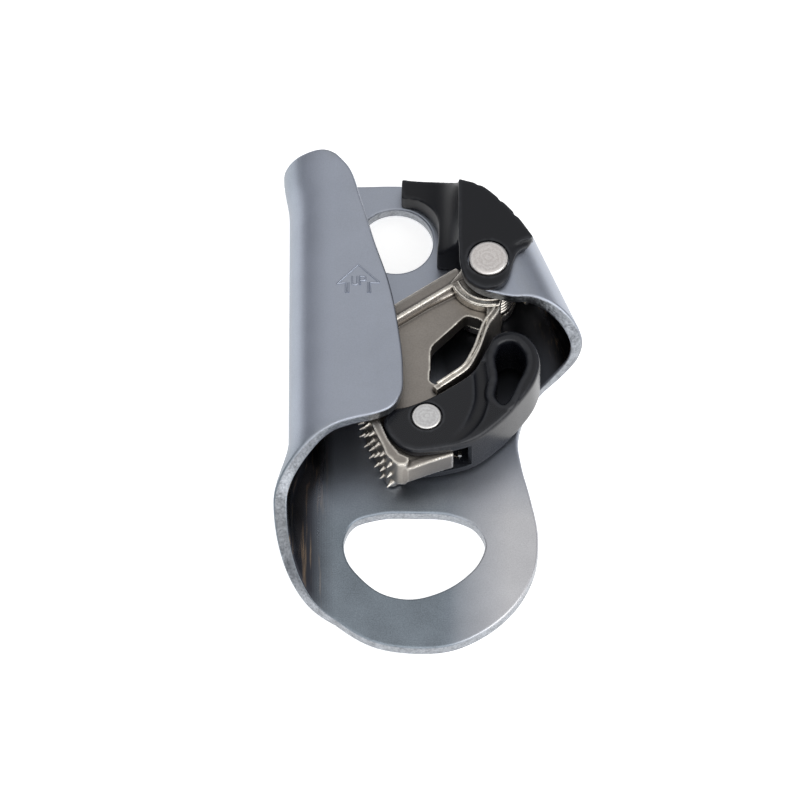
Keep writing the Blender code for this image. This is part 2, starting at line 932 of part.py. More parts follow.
ALUMINIUM = material("satin_aluminium", (0.42, 0.45, 0.5), 1.0, 0.35)
NYLON = material("grip_nylon", (0.02, 0.02, 0.022), 0.0, 0.45)
CATCH_NYLON = material("catch_nylon", (0.018, 0.018, 0.02), 0.0, 0.35)
CAST = material("cast_steel", (0.38, 0.35, 0.31), 1.0, 0.4)
AXLE_STEEL = material("axle_steel", (0.6, 0.57, 0.54), 1.0, 0.35)
PIN_STEEL = material("pin_steel", (0.62, 0.6, 0.58), 1.0, 0.35)
BUSH_STEEL = material("bush_steel", (0.45, 0.45, 0.46), 1.0, 0.3)
SPRING_STEEL = material("spring_steel", (0.5, 0.48, 0.45), 1.0, 0.3)
SMALL_SPRING_STEEL = material("small_spring_steel", (0.55, 0.53, 0.5), 1.0, 0.3)

PIECES = [
    build_frame(ALUMINIUM),
    build_axle(AXLE_STEEL),
    build_bush(BUSH_STEEL),
    build_pin(PIN_STEEL),
    build_cam(CAST),
    build_cam_spring(SPRING_STEEL),
    build_catch(CATCH_NYLON),
    build_catch_spring(SMALL_SPRING_STEEL),
    build_cover(NYLON),
]
for piece in PIECES:
    piece.data.shade_smooth()
    piece.data.set_sharp_from_angle(angle=math.radians(30))
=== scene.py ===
# %% [markdown]
# # A rope clamp with a toothed cam
# A climber clips this clamp to a harness and lays a rope in its open channel. The rope runs freely one
# way, and a toothed cam bites it the other way. The body is one piece of aluminium sheet, bent twice.
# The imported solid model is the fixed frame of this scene. Each solid that shows is replaced by a finer
# skin in the same place, so that the joints, sizes and clearances stay those of the solid model.

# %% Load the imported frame
import math

import bmesh
import bpy
import numpy as np
from mathutils import Matrix, Vector


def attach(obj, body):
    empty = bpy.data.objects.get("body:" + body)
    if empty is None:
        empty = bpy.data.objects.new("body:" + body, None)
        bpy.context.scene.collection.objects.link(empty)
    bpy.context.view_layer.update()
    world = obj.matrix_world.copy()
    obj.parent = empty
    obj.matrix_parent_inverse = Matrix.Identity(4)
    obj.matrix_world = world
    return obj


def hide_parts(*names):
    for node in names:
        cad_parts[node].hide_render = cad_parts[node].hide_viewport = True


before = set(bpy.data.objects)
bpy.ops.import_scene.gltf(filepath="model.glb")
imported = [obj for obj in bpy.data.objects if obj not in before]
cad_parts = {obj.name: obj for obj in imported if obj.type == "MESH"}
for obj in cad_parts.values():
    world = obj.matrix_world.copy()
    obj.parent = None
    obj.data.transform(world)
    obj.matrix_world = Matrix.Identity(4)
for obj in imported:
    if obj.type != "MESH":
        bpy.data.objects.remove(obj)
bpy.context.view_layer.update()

MM = 0.001

# %% [markdown]
# ## Camera
# The clamp lies on its back plate. A long lens far away keeps upright edges parallel, as in a
# catalogue picture, so the camera is one that stands three metres off and looks down at 59 degrees.

# %% Set up the camera
AIM = Vector((-4.95, 0.0, 8.0)) * MM
ELEVATION = math.radians(59)
AWAY = 3.0
SENSOR, LENS = 36.0, 736.0  # mm
camera = bpy.data.objects.new("camera", bpy.data.cameras.new("camera"))
bpy.context.scene.collection.objects.link(camera)
camera.location = AIM + Vector((0.0, -math.cos(ELEVATION), math.sin(ELEVATION))) * AWAY
camera.rotation_euler = (math.pi / 2 - ELEVATION, 0.0, 0.0)
camera.data.sensor_width = SENSOR
camera.data.lens = LENS
camera.data.clip_end = 10.0
bpy.context.scene.camera = camera
print("view width, mm:", round(AWAY * SENSOR / LENS * 1000, 1))

# %% [markdown]
# ## Outlines
# Every flat shape here starts as a closed line through a few measured points. A Hermite curve passes
# through the points themselves, so a designer can read the sizes off the table. A third value in a
# point keeps that corner sharp.

# %% Draw smooth outlines
FINE = 0.55  # mm between points along an outline


def smooth(points, step=FINE, parts=None):
    spots = [Vector(point[:2]) for point in points]
    sharp = [len(point) > 2 for point in points]
    count = len(spots)

    def slope(i, leaving):
        before = spots[i] - spots[i - 1]
        after = spots[(i + 1) % count] - spots[i]
        if sharp[i]:
            return (after if leaving else before).normalized()
        a, b = before.length, after.length
        return (before * b / a + after * a / b) / (a + b)

    line = []
    for i in range(count):
        j = (i + 1) % count
        start, end = spots[i], spots[j]
        length = (end - start).length
        pieces = parts or max(1, round(length / step))
        rise, fall = slope(i, True) * length, slope(j, False) * length
        for k in range(pieces):
            t = k / pieces
            line.append(
                start * (2 * t**3 - 3 * t**2 + 1)
                + rise * (t**3 - 2 * t**2 + t)
                + end * (3 * t**2 - 2 * t**3)
                + fall * (t**3 - t**2)
            )
    return line


def rounded(corners, parts=8):
    """Straight edges whose corners, given as (x, y, radius), are rounded."""
    line = []
    for i, (x, y, radius) in enumerate(corners):
        spot = Vector((x, y))
        back = (Vector(corners[i - 1][:2]) - spot).normalized()
        ahead = (Vector(corners[(i + 1) % len(corners)][:2]) - spot).normalized()
        half = back.angle(ahead) / 2
        centre = spot + (back + ahead).normalized() * radius / math.sin(half)
        start = spot + back * radius / math.tan(half) - centre
        end = spot + ahead * radius / math.tan(half) - centre
        sweep = start.angle_signed(end)
        line += [centre + Matrix.Rotation(-sweep * k / parts, 2) @ start for k in range(parts + 1)]
    return line


def polar(centre, radius, degrees):
    angle = math.radians(degrees)
    return (centre[0] + radius * math.cos(angle), centre[1] + radius * math.sin(angle))


def ring(centre, radius, sides=96):
    return [Vector(polar(centre, radius, 360 * k / sides)) for k in range(sides)]


print("a 10 mm circle has", len(ring((0, 0), 5.0)), "points")

# %% [markdown]
# ## Solid helpers
# A cut plate, a turned rivet and a moulded block need different tools. A filled 2D curve gives a plate
# with rounded edges, a spun profile gives a turned piece, and an exact Boolean cuts one from another.

# %% Plates, turned pieces and Booleans
def scratch(mesh_or_curve):
    obj = bpy.data.objects.new("scratch", mesh_or_curve)
    bpy.context.scene.collection.objects.link(obj)
    return obj


def settled(obj, *helpers):
    """The mesh that an object's modifiers give. The object and its helpers are removed."""
    graph = bpy.context.evaluated_depsgraph_get()
    mesh = bpy.data.meshes.new_from_object(obj.evaluated_get(graph))
    for used in (obj, *helpers):
        bpy.data.objects.remove(used)
    return mesh


def to_mesh(made, name="shape"):
    mesh = bpy.data.meshes.new(name)
    made.to_mesh(mesh)
    made.free()
    return mesh


def welded(mesh):
    made = bmesh.new()
    made.from_mesh(mesh)
    bmesh.ops.remove_doubles(made, verts=made.verts, dist=0.001 * MM)
    bmesh.ops.recalc_face_normals(made, faces=made.faces)
    if made.calc_volume(signed=True) < 0:
        bmesh.ops.reverse_faces(made, faces=made.faces)
    made.to_mesh(mesh)
    made.free()
    return mesh


def plate(loops, low, high, edge=0.0, facets=3):
    """A flat plate from closed lines, the first outside and the rest holes."""
    curve = bpy.data.curves.new("outline", "CURVE")
    curve.dimensions = "2D"
    curve.fill_mode = "BOTH"
    curve.extrude = ((high - low) / 2 - edge) * MM
    curve.bevel_depth = edge * MM
    curve.bevel_resolution = facets
    curve.offset = -edge * MM
    for loop in loops:
        spline = curve.splines.new("POLY")
        spline.points.add(len(loop) - 1)
        for place, spot in zip(spline.points, loop):
            place.co = (spot[0] * MM, spot[1] * MM, 0.0, 1.0)
        spline.use_cyclic_u = True
    mesh = settled(scratch(curve))
    mesh.transform(Matrix.Translation((0.0, 0.0, (low + high) / 2 * MM)))
    return welded(mesh)


def turned(profile, centre, sides=96):
    """A round body about an upright axis, from (radius, z) pairs, top to bottom."""
    made = bmesh.new()
    spots = [made.verts.new((r * MM, 0.0, z * MM)) for r, z in profile]
    edges = [made.edges.new(pair) for pair in zip(spots, spots[1:])]
    if profile[0][0] > 0:
        edges.append(made.edges.new((spots[-1], spots[0])))
    bmesh.ops.spin(
        made, geom=edges, axis=(0, 0, 1), cent=(0, 0, 0), angle=math.tau, steps=sides, use_merge=True
    )
    bmesh.ops.translate(made, verts=made.verts, vec=(centre[0] * MM, centre[1] * MM, 0.0))
    return welded(to_mesh(made))


def post(centre, radius, low, high):
    return turned([(0, high), (radius, high), (radius, low), (0, low)], centre)


def rod(start, end, radius, sides=48):
    a, b = Vector(start) * MM, Vector(end) * MM
    made = bmesh.new()
    bmesh.ops.create_cone(
        made, cap_ends=True, segments=sides, radius1=radius * MM, radius2=radius * MM,
        depth=(b - a).length
    )
    lean = Vector((0.0, 0.0, 1.0)).rotation_difference(b - a).to_matrix().to_4x4()
    mesh = to_mesh(made)
    mesh.transform(Matrix.Translation((a + b) / 2) @ lean)
    return mesh


def loft(levels):
    """A closed body through outlines of equal length, given as lists of (x, y, z)."""
    made = bmesh.new()
    rows = [[made.verts.new(Vector(p) * MM) for p in line] for line in levels]
    for lower, upper in zip(rows, rows[1:]):
        for i in range(len(lower)):
            j = (i + 1) % len(lower)
            made.faces.new((lower[i], lower[j], upper[j], upper[i]))
    made.faces.new(rows[0][::-1])
    made.faces.new(rows[-1])
    return welded(to_mesh(made))


def boolean(mesh, tools, operation="DIFFERENCE"):
    body = scratch(mesh)
    helpers = []
    for tool in tools:
        helper = scratch(tool)
        step = body.modifiers.new("step", "BOOLEAN")
        step.operation = operation
        step.solver = "EXACT"
        step.object = helper
        helpers.append(helper)
    return settled(body, *helpers)


def together(meshes):
    made = bmesh.new()
    for mesh in meshes:
        made.from_mesh(mesh)
    return to_mesh(made)


print("helpers ready")

# %% [markdown]
# ## Casting and moulding
# Cast steel and moulded nylon have no sharp inside corners, because metal and plastic must flow. A
# voxel remesh of the overlapping parts melts them into one skin, and a few rounds of smoothing give
# every corner the small radius that a mould leaves.

# %% Melt parts into one skin
def moulded(mesh, grain, rounds):
    body = scratch(mesh)
    skin = body.modifiers.new("skin", "REMESH")
    skin.mode = "VOXEL"
    skin.voxel_size = grain * MM
    soft = body.modifiers.new("soft", "SMOOTH")
    soft.factor = 0.5
    soft.iterations = rounds
    return settled(body)


def smooth_shaded(mesh, degrees=35):
    mesh.shade_smooth()
    mesh.set_sharp_from_angle(angle=math.radians(degrees))
    body = scratch(mesh)
    weigh = body.modifiers.new("weigh", "WEIGHTED_NORMAL")
    weigh.keep_sharp = True
    return settled(body)


print("ready:", moulded.__name__, smooth_shaded.__name__)

# %% [markdown]
# ## Edge and hollow masks
# Edges that hands and ropes rub turn bright, and hollows are painted darker as painted shade. Each vertex
# gets its mean curvature, positive on a ridge and negative in a hollow, and the materials read it by
# name.

# %% Measure curvature into an attribute
def mark_curvature(mesh, rounds=2, full=1.6):
    count = len(mesh.vertices)
    places = np.empty(count * 3, np.float32)
    mesh.vertices.foreach_get("co", places)
    places = places.reshape(-1, 3) * 1000.0
    normals = np.empty(count * 3, np.float32)
    mesh.vertices.foreach_get("normal", normals)
    normals = normals.reshape(-1, 3)
    pairs = np.empty(len(mesh.edges) * 2, np.int32)
    mesh.edges.foreach_get("vertices", pairs)
    a, b = pairs.reshape(-1, 2).T
    apart = places[b] - places[a]
    bend = ((normals[b] - normals[a]) * apart).sum(1) / np.maximum((apart**2).sum(1), 1e-4)
    ends = np.bincount(a, minlength=count) + np.bincount(b, minlength=count)
    value = np.bincount(a, bend, count) + np.bincount(b, bend, count)
    value = value / np.maximum(ends, 1)
    for _ in range(rounds):
        spread = np.bincount(a, value[b], count) + np.bincount(b, value[a], count)
        value = 0.5 * value + 0.5 * spread / np.maximum(ends, 1)
    layer = mesh.attributes.new("curvature", "FLOAT", "POINT")
    layer.data.foreach_set("value", np.clip(value / full, -1.0, 1.0).astype(np.float32))
    return mesh


print("ready:", mark_curvature.__name__)

# %% [markdown]
# # Finishes
# Three effects are used by several finishes, so each is one node group with named inputs. Fine grain is
# the skin that tumbling, casting and moulding leave. Rubbed edges brighten ridges, and hollows are
# darkened as painted shade.
# Spun rings are the marks of the tool that forms a rivet head. Groups give out colours, values and
# normals only, and each finish places them in its own Principled shader.

# %% Build node groups
def new_group(name, inputs, outputs):
    tree = bpy.data.node_groups.new(name, "ShaderNodeTree")
    for label, kind, value in inputs:
        tree.interface.new_socket(label, in_out="INPUT", socket_type=kind).default_value = value
    for label, kind in outputs:
        tree.interface.new_socket(label, in_out="OUTPUT", socket_type=kind)
    return tree, tree.nodes.new("NodeGroupInput").outputs, tree.nodes.new("NodeGroupOutput").inputs


def put(tree, kind, links=(), **settings):
    """Adds a node. Links are (input name or index, socket or value) pairs."""
    node = tree.nodes.new(kind)
    for key, value in settings.items():
        setattr(node, key, value)
    for key, value in links:
        if isinstance(value, bpy.types.NodeSocket):
            tree.links.new(value, node.inputs[key])
        else:
            node.inputs[key].default_value = value
    return node


def sum_of(tree, operation, *values):
    return put(tree, "ShaderNodeMath", list(enumerate(values)), operation=operation).outputs[0]


def ramp(tree, value, low, high, start=0.0, end=1.0):
    links = [("Value", value), ("From Min", low), ("From Max", high), ("To Min", start), ("To Max", end)]
    return put(tree, "ShaderNodeMapRange", links).outputs["Result"]


def blended(tree, share, a, b):
    links = [("Factor", share), (6, a), (7, b)]
    return put(tree, "ShaderNodeMix", links, data_type="RGBA").outputs[2]


def in_mm(tree):
    spot = put(tree, "ShaderNodeTexCoord").outputs["Object"]
    scale = put(tree, "ShaderNodeVectorMath", [(0, spot)], operation="SCALE")
    scale.inputs["Scale"].default_value = 1000.0
    return scale.outputs[0]


FLOAT, COLOUR, VECTOR = "NodeSocketFloat", "NodeSocketColor", "NodeSocketVector"
print("socket kinds:", FLOAT, COLOUR, VECTOR)

# %% [markdown]
# ## Fine grain
# Tumbled metal, cast steel and moulded nylon all have a skin of very small bumps, with a slower cloudy
# change over it. Two noises give that. The grain size is in mm, so each finish sets its own.

# %% Fine grain
GRAIN, given, gives = new_group(
    "fine_grain",
    [
        ("Grain mm", FLOAT, 0.2),
        ("Roughness", FLOAT, 0.4),
        ("Spread", FLOAT, 0.1),
        ("Bump mm", FLOAT, 0.01),
        ("Cloud mm", FLOAT, 6.0),
    ],
    [("Roughness", FLOAT), ("Shade", FLOAT), ("Normal", VECTOR)],
)
where = in_mm(GRAIN)
per_mm = sum_of(GRAIN, "DIVIDE", 1.0, given["Grain mm"])
speck = put(
    GRAIN, "ShaderNodeTexNoise", [("Vector", where), ("Scale", per_mm), ("Detail", 3.0)]
).outputs[0]
per_cloud = sum_of(GRAIN, "DIVIDE", 1.0, given["Cloud mm"])
cloud = put(
    GRAIN, "ShaderNodeTexNoise", [("Vector", where), ("Scale", per_cloud), ("Detail", 4.0)]
).outputs[0]
both = sum_of(GRAIN, "MULTIPLY_ADD", speck, 0.6, sum_of(GRAIN, "MULTIPLY", cloud, 0.4))
swing = sum_of(GRAIN, "MULTIPLY", sum_of(GRAIN, "SUBTRACT", both, 0.5), given["Spread"])
GRAIN.links.new(sum_of(GRAIN, "ADD", given["Roughness"], swing), gives["Roughness"])
GRAIN.links.new(ramp(GRAIN, both, 0.25, 0.75, 0.0, 1.0), gives["Shade"])
reach = sum_of(GRAIN, "MULTIPLY", given["Bump mm"], 0.001)
lift = put(GRAIN, "ShaderNodeBump", [("Distance", reach), ("Height", speck)])
GRAIN.links.new(lift.outputs[0], gives["Normal"])
print("fine_grain:", len(GRAIN.nodes), "nodes")

# %% [markdown]
# ## Rubbed edges and hollow shade
# Hands and rope polish what stands out, and what lies deep is darkened as painted shade. The curvature of
# each vertex says which is which, and a slow noise keeps the polish from being the same all along an
# edge.

# %% Rubbed edges and hollow shade
RUBBED_AND_SHADED, given, gives = new_group(
    "rubbed_edges",
    [
        ("Base", COLOUR, (0.5, 0.5, 0.5, 1)), ("Ridge", COLOUR, (0.8, 0.8, 0.8, 1)),
        ("Hollow", COLOUR, (0.1, 0.1, 0.1, 1)),
     ("Ridge amount", FLOAT, 0.8), ("Hollow amount", FLOAT, 0.6)],
    [("Color", COLOUR), ("Ridge", FLOAT), ("Hollow", FLOAT)],
)
bend = put(RUBBED_AND_SHADED, "ShaderNodeAttribute", attribute_name="curvature").outputs["Fac"]
patchy = put(
    RUBBED_AND_SHADED, "ShaderNodeTexNoise", [("Vector", in_mm(RUBBED_AND_SHADED)), ("Scale", 0.8), ("Detail", 3.0)]
).outputs[0]
worn = sum_of(
    RUBBED_AND_SHADED, "MULTIPLY", ramp(RUBBED_AND_SHADED, bend, 0.12, 0.75), ramp(RUBBED_AND_SHADED, patchy, 0.3, 0.6, 0.45, 1.0)
)
worn = sum_of(RUBBED_AND_SHADED, "MULTIPLY", worn, given["Ridge amount"])
# hollows are darkened here: painted shade
hollow_shade = sum_of(RUBBED_AND_SHADED, "MULTIPLY", ramp(RUBBED_AND_SHADED, bend, -0.1, -0.7), given["Hollow amount"])
rubbed = blended(RUBBED_AND_SHADED, worn, given["Base"], given["Ridge"])
RUBBED_AND_SHADED.links.new(blended(RUBBED_AND_SHADED, hollow_shade, rubbed, given["Hollow"]), gives["Color"])
RUBBED_AND_SHADED.links.new(worn, gives["Ridge"])
RUBBED_AND_SHADED.links.new(hollow_shade, gives["Hollow"])
print("rubbed_edges:", len(RUBBED_AND_SHADED.nodes), "nodes")

# %% [markdown]
# ## Spun rings
# A rivet head is closed by a turning punch, which leaves faint, uneven rings round its centre. A wave
# of the distance from the centre gives the rings, and noise bends and pits them.

# %% Spun rings
SPUN, given, gives = new_group(
    "spun_rings",
    [("Centre mm", VECTOR, (0.0, 0.0, 0.0)), ("Pitch mm", FLOAT, 0.5), ("Depth mm", FLOAT, 0.03)],
    [("Shade", FLOAT), ("Normal", VECTOR)],
)
offset = put(
    SPUN, "ShaderNodeVectorMath", [(0, in_mm(SPUN)), (1, given["Centre mm"])], operation="SUBTRACT"
).outputs[0]
flat = put(
    SPUN, "ShaderNodeVectorMath", [(0, offset), (1, (1.0, 1.0, 0.0))], operation="MULTIPLY"
).outputs[0]
reach = put(SPUN, "ShaderNodeVectorMath", [(0, flat)], operation="LENGTH").outputs["Value"]
wobble = put(SPUN, "ShaderNodeTexNoise", [("Vector", offset), ("Scale", 1.1), ("Detail", 2.0)]).outputs[0]
turns = sum_of(
    SPUN, "DIVIDE", sum_of(SPUN, "ADD", reach, sum_of(SPUN, "MULTIPLY", wobble, 1.6)), given["Pitch mm"]
)
wave = sum_of(
    SPUN, "MULTIPLY_ADD", sum_of(SPUN, "SINE", sum_of(SPUN, "MULTIPLY", turns, math.tau)), 0.5, 0.5
)
pits = put(SPUN, "ShaderNodeTexNoise", [("Vector", offset), ("Scale", 3.0), ("Detail", 6.0)]).outputs[0]
mixed = sum_of(SPUN, "MULTIPLY_ADD", pits, 0.8, sum_of(SPUN, "MULTIPLY", wave, 0.2))
SPUN.links.new(mixed, gives["Shade"])
depth = sum_of(SPUN, "MULTIPLY", given["Depth mm"], 0.001)
SPUN.links.new(
    put(SPUN, "ShaderNodeBump", [("Distance", depth), ("Height", mixed)]).outputs[0], gives["Normal"]
)
print("spun_rings:", len(SPUN.nodes), "nodes")

# %% [markdown]
# ## Helpers for a finish
# Each finish is one Principled shader. These helpers start it, place a group in it and shade a colour
# by a value, so that the finishes below read as short recipes.

# %% Start a finish
def principled(name, metallic):
    made = bpy.data.materials.new(name)
    made.use_nodes = True
    shader = made.node_tree.nodes["Principled BSDF"]
    shader.inputs["Metallic"].default_value = metallic
    return made, made.node_tree, shader


def group(tree, kind, **values):
    node = tree.nodes.new("ShaderNodeGroup")
    node.node_tree = kind
    for key, value in values.items():
        node.inputs[key.replace("_", " ")].default_value = value
    return node


def shaded(tree, colour, shade, low=0.88, high=1.1):
    """A colour made a little darker and lighter by a value from 0 to 1."""
    level = ramp(tree, shade, 0.0, 1.0, low, high)
    tint = colour if isinstance(colour, bpy.types.NodeSocket) else colour[:3]
    both = put(tree, "ShaderNodeVectorMath", [(0, tint), ("Scale", level)], operation="SCALE")
    return both.outputs[0]


def mixed_value(tree, share, a, b):
    return put(tree, "ShaderNodeMix", [("Factor", share), (2, a), (3, b)], data_type="FLOAT").outputs[0]


def mask(tree, name):
    return put(tree, "ShaderNodeAttribute", attribute_name=name).outputs["Fac"]


print("finishes can start")

# %% [markdown]
# ## Satin aluminium
# The sheet is tumbled in ceramic chips after it is cut, which leaves a grey satin face with a fine
# speckle. Its cut edges are paler and coarser. The rope polishes the inside of the channel, so that
# part is smoother and streaked along the rope. The inside of the channel and of the fold, and the
# hollows, are painted nearly black as painted shade. The eye's lobe has painted shade on the rope side
# and a painted highlight where a connector rides, the left side of the channel has painted shade, and
# the plate in the recess behind the cam is painted dark as painted shade. The node's Object
# coordinates place these zones, so they stay on the metal in every view.

# %% Satin aluminium
FACE_GREY = (0.385, 0.415, 0.485, 1)
EDGE_GREY = (0.36, 0.38, 0.41, 1)
# painted shade: the inside of the channel and the fold, and the hollows
INSIDE_SHADE_GREY = (0.055, 0.058, 0.07, 1)
# painted shade: the rope side of the eye's lobe and the left side of the channel
SHADED_FACE_GREY = (0.22, 0.255, 0.29, 1)
# painted highlight: the right side of the eye's lobe
LOBE_HIGHLIGHT_GREY = (0.62, 0.62, 0.64, 1)
# painted shade: the plate in the recess behind the cam
RECESS_SHADE_GREY = (0.05, 0.053, 0.062, 1)
WARM_STREAK = (0.24, 0.18, 0.13, 1)
RECESS = (15.0, 14.0, 3.0)  # mm, the middle of the space behind the cam
ALUMINIUM, tree, shader = principled("satin_aluminium", 1.0)
skin = group(tree, GRAIN, Grain_mm=0.22, Roughness=0.40, Spread=0.16, Bump_mm=0.012, Cloud_mm=7.0)
coarse = group(tree, GRAIN, Grain_mm=0.45, Roughness=0.34, Spread=0.35, Bump_mm=0.10, Cloud_mm=1.6)
wear_and_shade = group(tree, RUBBED_AND_SHADED, Ridge_amount=0.8, Hollow_amount=0.5)
for socket, colour in zip(("Base", "Ridge", "Hollow"), (FACE_GREY, EDGE_GREY, INSIDE_SHADE_GREY)):
    wear_and_shade.inputs[socket].default_value = colour
place = put(tree, "ShaderNodeSeparateXYZ", [(0, in_mm(tree))]).outputs
# painted shade over the rope side of the eye's lobe
lobe_shade = sum_of(
    tree, "MULTIPLY", ramp(tree, place[1], -8.0, -24.0), ramp(tree, place[0], 14.0, 2.0, 0.0, 1.0)
)
face = shaded(tree, wear_and_shade.outputs["Color"], skin.outputs["Shade"])
dark_face = shaded(tree, SHADED_FACE_GREY, skin.outputs["Shade"], 0.65, 1.4)
# painted shade over the left side of the channel
face = blended(tree, ramp(tree, place[0], -22.0, -27.5), face, dark_face)
face = blended(tree, lobe_shade, face, dark_face)
# painted highlight over the right side of the eye's lobe
lobe_highlight = sum_of(tree, "MULTIPLY", ramp(tree, place[1], -8.0, -22.0), ramp(tree, place[0], 4.0, 15.0))
face = blended(tree, lobe_highlight, face, shaded(tree, LOBE_HIGHLIGHT_GREY, skin.outputs["Shade"], 0.8, 1.15))
from_recess = put(tree, "ShaderNodeVectorMath", [(0, in_mm(tree)), (1, RECESS)], operation="DISTANCE")
# painted shade on the plate behind the cam
recess_shade = sum_of(
    tree, "MULTIPLY", ramp(tree, from_recess.outputs["Value"], 19.0, 12.0), ramp(tree, place[2], 1.6, 2.4)
)
recess_shade = sum_of(tree, "MULTIPLY", recess_shade, ramp(tree, place[2], 10.0, 7.0))
face = blended(tree, recess_shade, face, RECESS_SHADE_GREY)
cut = ramp(tree, mask(tree, "cut"), 0.35, 0.9)
cut_colour = shaded(tree, EDGE_GREY, coarse.outputs["Shade"], 0.3, 1.25)
stretched = put(
    tree, "ShaderNodeMapping", [("Vector", in_mm(tree)), ("Scale", (1.0, 0.06, 1.0))]
).outputs[0]
streak = put(
    tree, "ShaderNodeTexNoise", [("Vector", stretched), ("Scale", 1.4), ("Detail", 3.0)]
).outputs[0]
# painted shade inside the channel and the fold, with warm streaks along the rope
warm = blended(tree, ramp(tree, streak, 0.56, 0.7), INSIDE_SHADE_GREY, WARM_STREAK)
inner = mask(tree, "inner")
colour = blended(tree, inner, blended(tree, cut, face, cut_colour), warm)
tree.links.new(colour, shader.inputs["Base Color"])
rough = mixed_value(tree, cut, skin.outputs["Roughness"], coarse.outputs["Roughness"])
tree.links.new(mixed_value(tree, inner, rough, 0.2), shader.inputs["Roughness"])
normal = blended(tree, cut, skin.outputs["Normal"], coarse.outputs["Normal"])
tree.links.new(normal, shader.inputs["Normal"])
print(ALUMINIUM.name, len(tree.nodes), "nodes")

# %% [markdown]
# ## Cast steel
# The cam is investment cast and nickel plated. Its web keeps the sandy skin of the mould and looks warm
# grey. The ridges and the nose are polished in use, so they are brighter and smoother. Its hollows are
# painted dark as painted shade.

# %% Cast steel
CAST_GREY = (0.30, 0.275, 0.25, 1)
CAST_BRIGHT = (0.78, 0.74, 0.67, 1)
# CAST_DARK is painted shade in the cam's hollows
CAST_DARK = (0.06, 0.055, 0.05, 1)
CAST, tree, shader = principled("cast_steel", 1.0)
skin = group(tree, GRAIN, Grain_mm=0.28, Roughness=0.42, Spread=0.22, Bump_mm=0.05, Cloud_mm=4.0)
wear_and_shade = group(tree, RUBBED_AND_SHADED, Ridge_amount=0.95, Hollow_amount=0.8)
for socket, colour in zip(("Base", "Ridge", "Hollow"), (CAST_GREY, CAST_BRIGHT, CAST_DARK)):
    wear_and_shade.inputs[socket].default_value = colour
tree.links.new(
    shaded(tree, wear_and_shade.outputs["Color"], skin.outputs["Shade"], 0.8, 1.15), shader.inputs["Base Color"]
)
tree.links.new(
    mixed_value(tree, wear_and_shade.outputs["Ridge"], skin.outputs["Roughness"], 0.24), shader.inputs["Roughness"]
)
tree.links.new(skin.outputs["Normal"], shader.inputs["Normal"])
print(CAST.name, len(tree.nodes), "nodes")

# %% [markdown]
# ## Black nylon
# The grip cover and the catch are moulded in glass-filled nylon. It is nearly black, with a soft sheen,
# a very fine texture and slightly greyer, shinier edges where gloves rub it.

# %% Black nylon, satin and glossy
def nylon(name, roughness, spread, bump, rub, level):
    made, tree, shader = principled(name, 0.0)
    skin = group(
        tree, GRAIN, Grain_mm=0.16, Roughness=roughness, Spread=spread, Bump_mm=bump, Cloud_mm=8.0
    )
    wear_and_shade = group(tree, RUBBED_AND_SHADED, Ridge_amount=rub, Hollow_amount=0.6)
    # the third colour is painted shade in the hollows
    colours = ((0.004, 0.0046, 0.007, 1), (0.032, 0.034, 0.04, 1), (0.0015, 0.0015, 0.002, 1))
    for socket, colour in zip(("Base", "Ridge", "Hollow"), colours):
        wear_and_shade.inputs[socket].default_value = colour
    tree.links.new(
        shaded(tree, wear_and_shade.outputs["Color"], skin.outputs["Shade"], 0.85, 1.15),
        shader.inputs["Base Color"]
    )
    smoother = sum_of(tree, "MULTIPLY", wear_and_shade.outputs["Ridge"], -0.08)
    tree.links.new(sum_of(tree, "ADD", skin.outputs["Roughness"], smoother), shader.inputs["Roughness"])
    tree.links.new(skin.outputs["Normal"], shader.inputs["Normal"])
    shader.inputs["Specular IOR Level"].default_value = level
    return made


GRIP_NYLON = nylon("grip_nylon", 0.38, 0.10, 0.010, 0.5, 0.3)
CATCH_NYLON = nylon("catch_nylon", 0.27, 0.08, 0.006, 0.6, 0.36)
print(GRIP_NYLON.name, CATCH_NYLON.name)

# %% [markdown]
# ## Rivets and springs
# Rivet heads are spun down by a rolling tool, so they carry rings about their own centre and small pits.
# Spring wire is drawn, and shows fine lines only, so a plain steel with a little grain is enough.

# %% Rivet and spring steel
def spun_steel(name, centre, light, dark, pitch):
    made, tree, shader = principled(name, 1.0)
    rings = group(tree, SPUN, Centre_mm=(*centre, 0.0), Pitch_mm=pitch, Depth_mm=0.05)
    wear_and_shade = group(tree, RUBBED_AND_SHADED, Ridge_amount=0.8, Hollow_amount=0.8)
    # the second colour is painted shade in the hollows
    for socket, colour in zip(("Ridge", "Hollow"), ((0.85, 0.83, 0.8, 1), (0.08, 0.075, 0.07, 1))):
        wear_and_shade.inputs[socket].default_value = colour
    tone = blended(tree, ramp(tree, rings.outputs["Shade"], 0.3, 0.7), dark, light)
    tree.links.new(tone, wear_and_shade.inputs["Base"])
    tree.links.new(wear_and_shade.outputs["Color"], shader.inputs["Base Color"])
    tree.links.new(ramp(tree, rings.outputs["Shade"], 0.2, 0.8, 0.5, 0.3), shader.inputs["Roughness"])
    tree.links.new(rings.outputs["Normal"], shader.inputs["Normal"])
    return made


def drawn_steel(name, colour, roughness):
    made, tree, shader = principled(name, 1.0)
    skin = group(
        tree, GRAIN, Grain_mm=0.12, Roughness=roughness, Spread=0.12, Bump_mm=0.006, Cloud_mm=3.0
    )
    tree.links.new(shaded(tree, colour, skin.outputs["Shade"], 0.8, 1.15), shader.inputs["Base Color"])
    tree.links.new(skin.outputs["Roughness"], shader.inputs["Roughness"])
    tree.links.new(skin.outputs["Normal"], shader.inputs["Normal"])
    return made


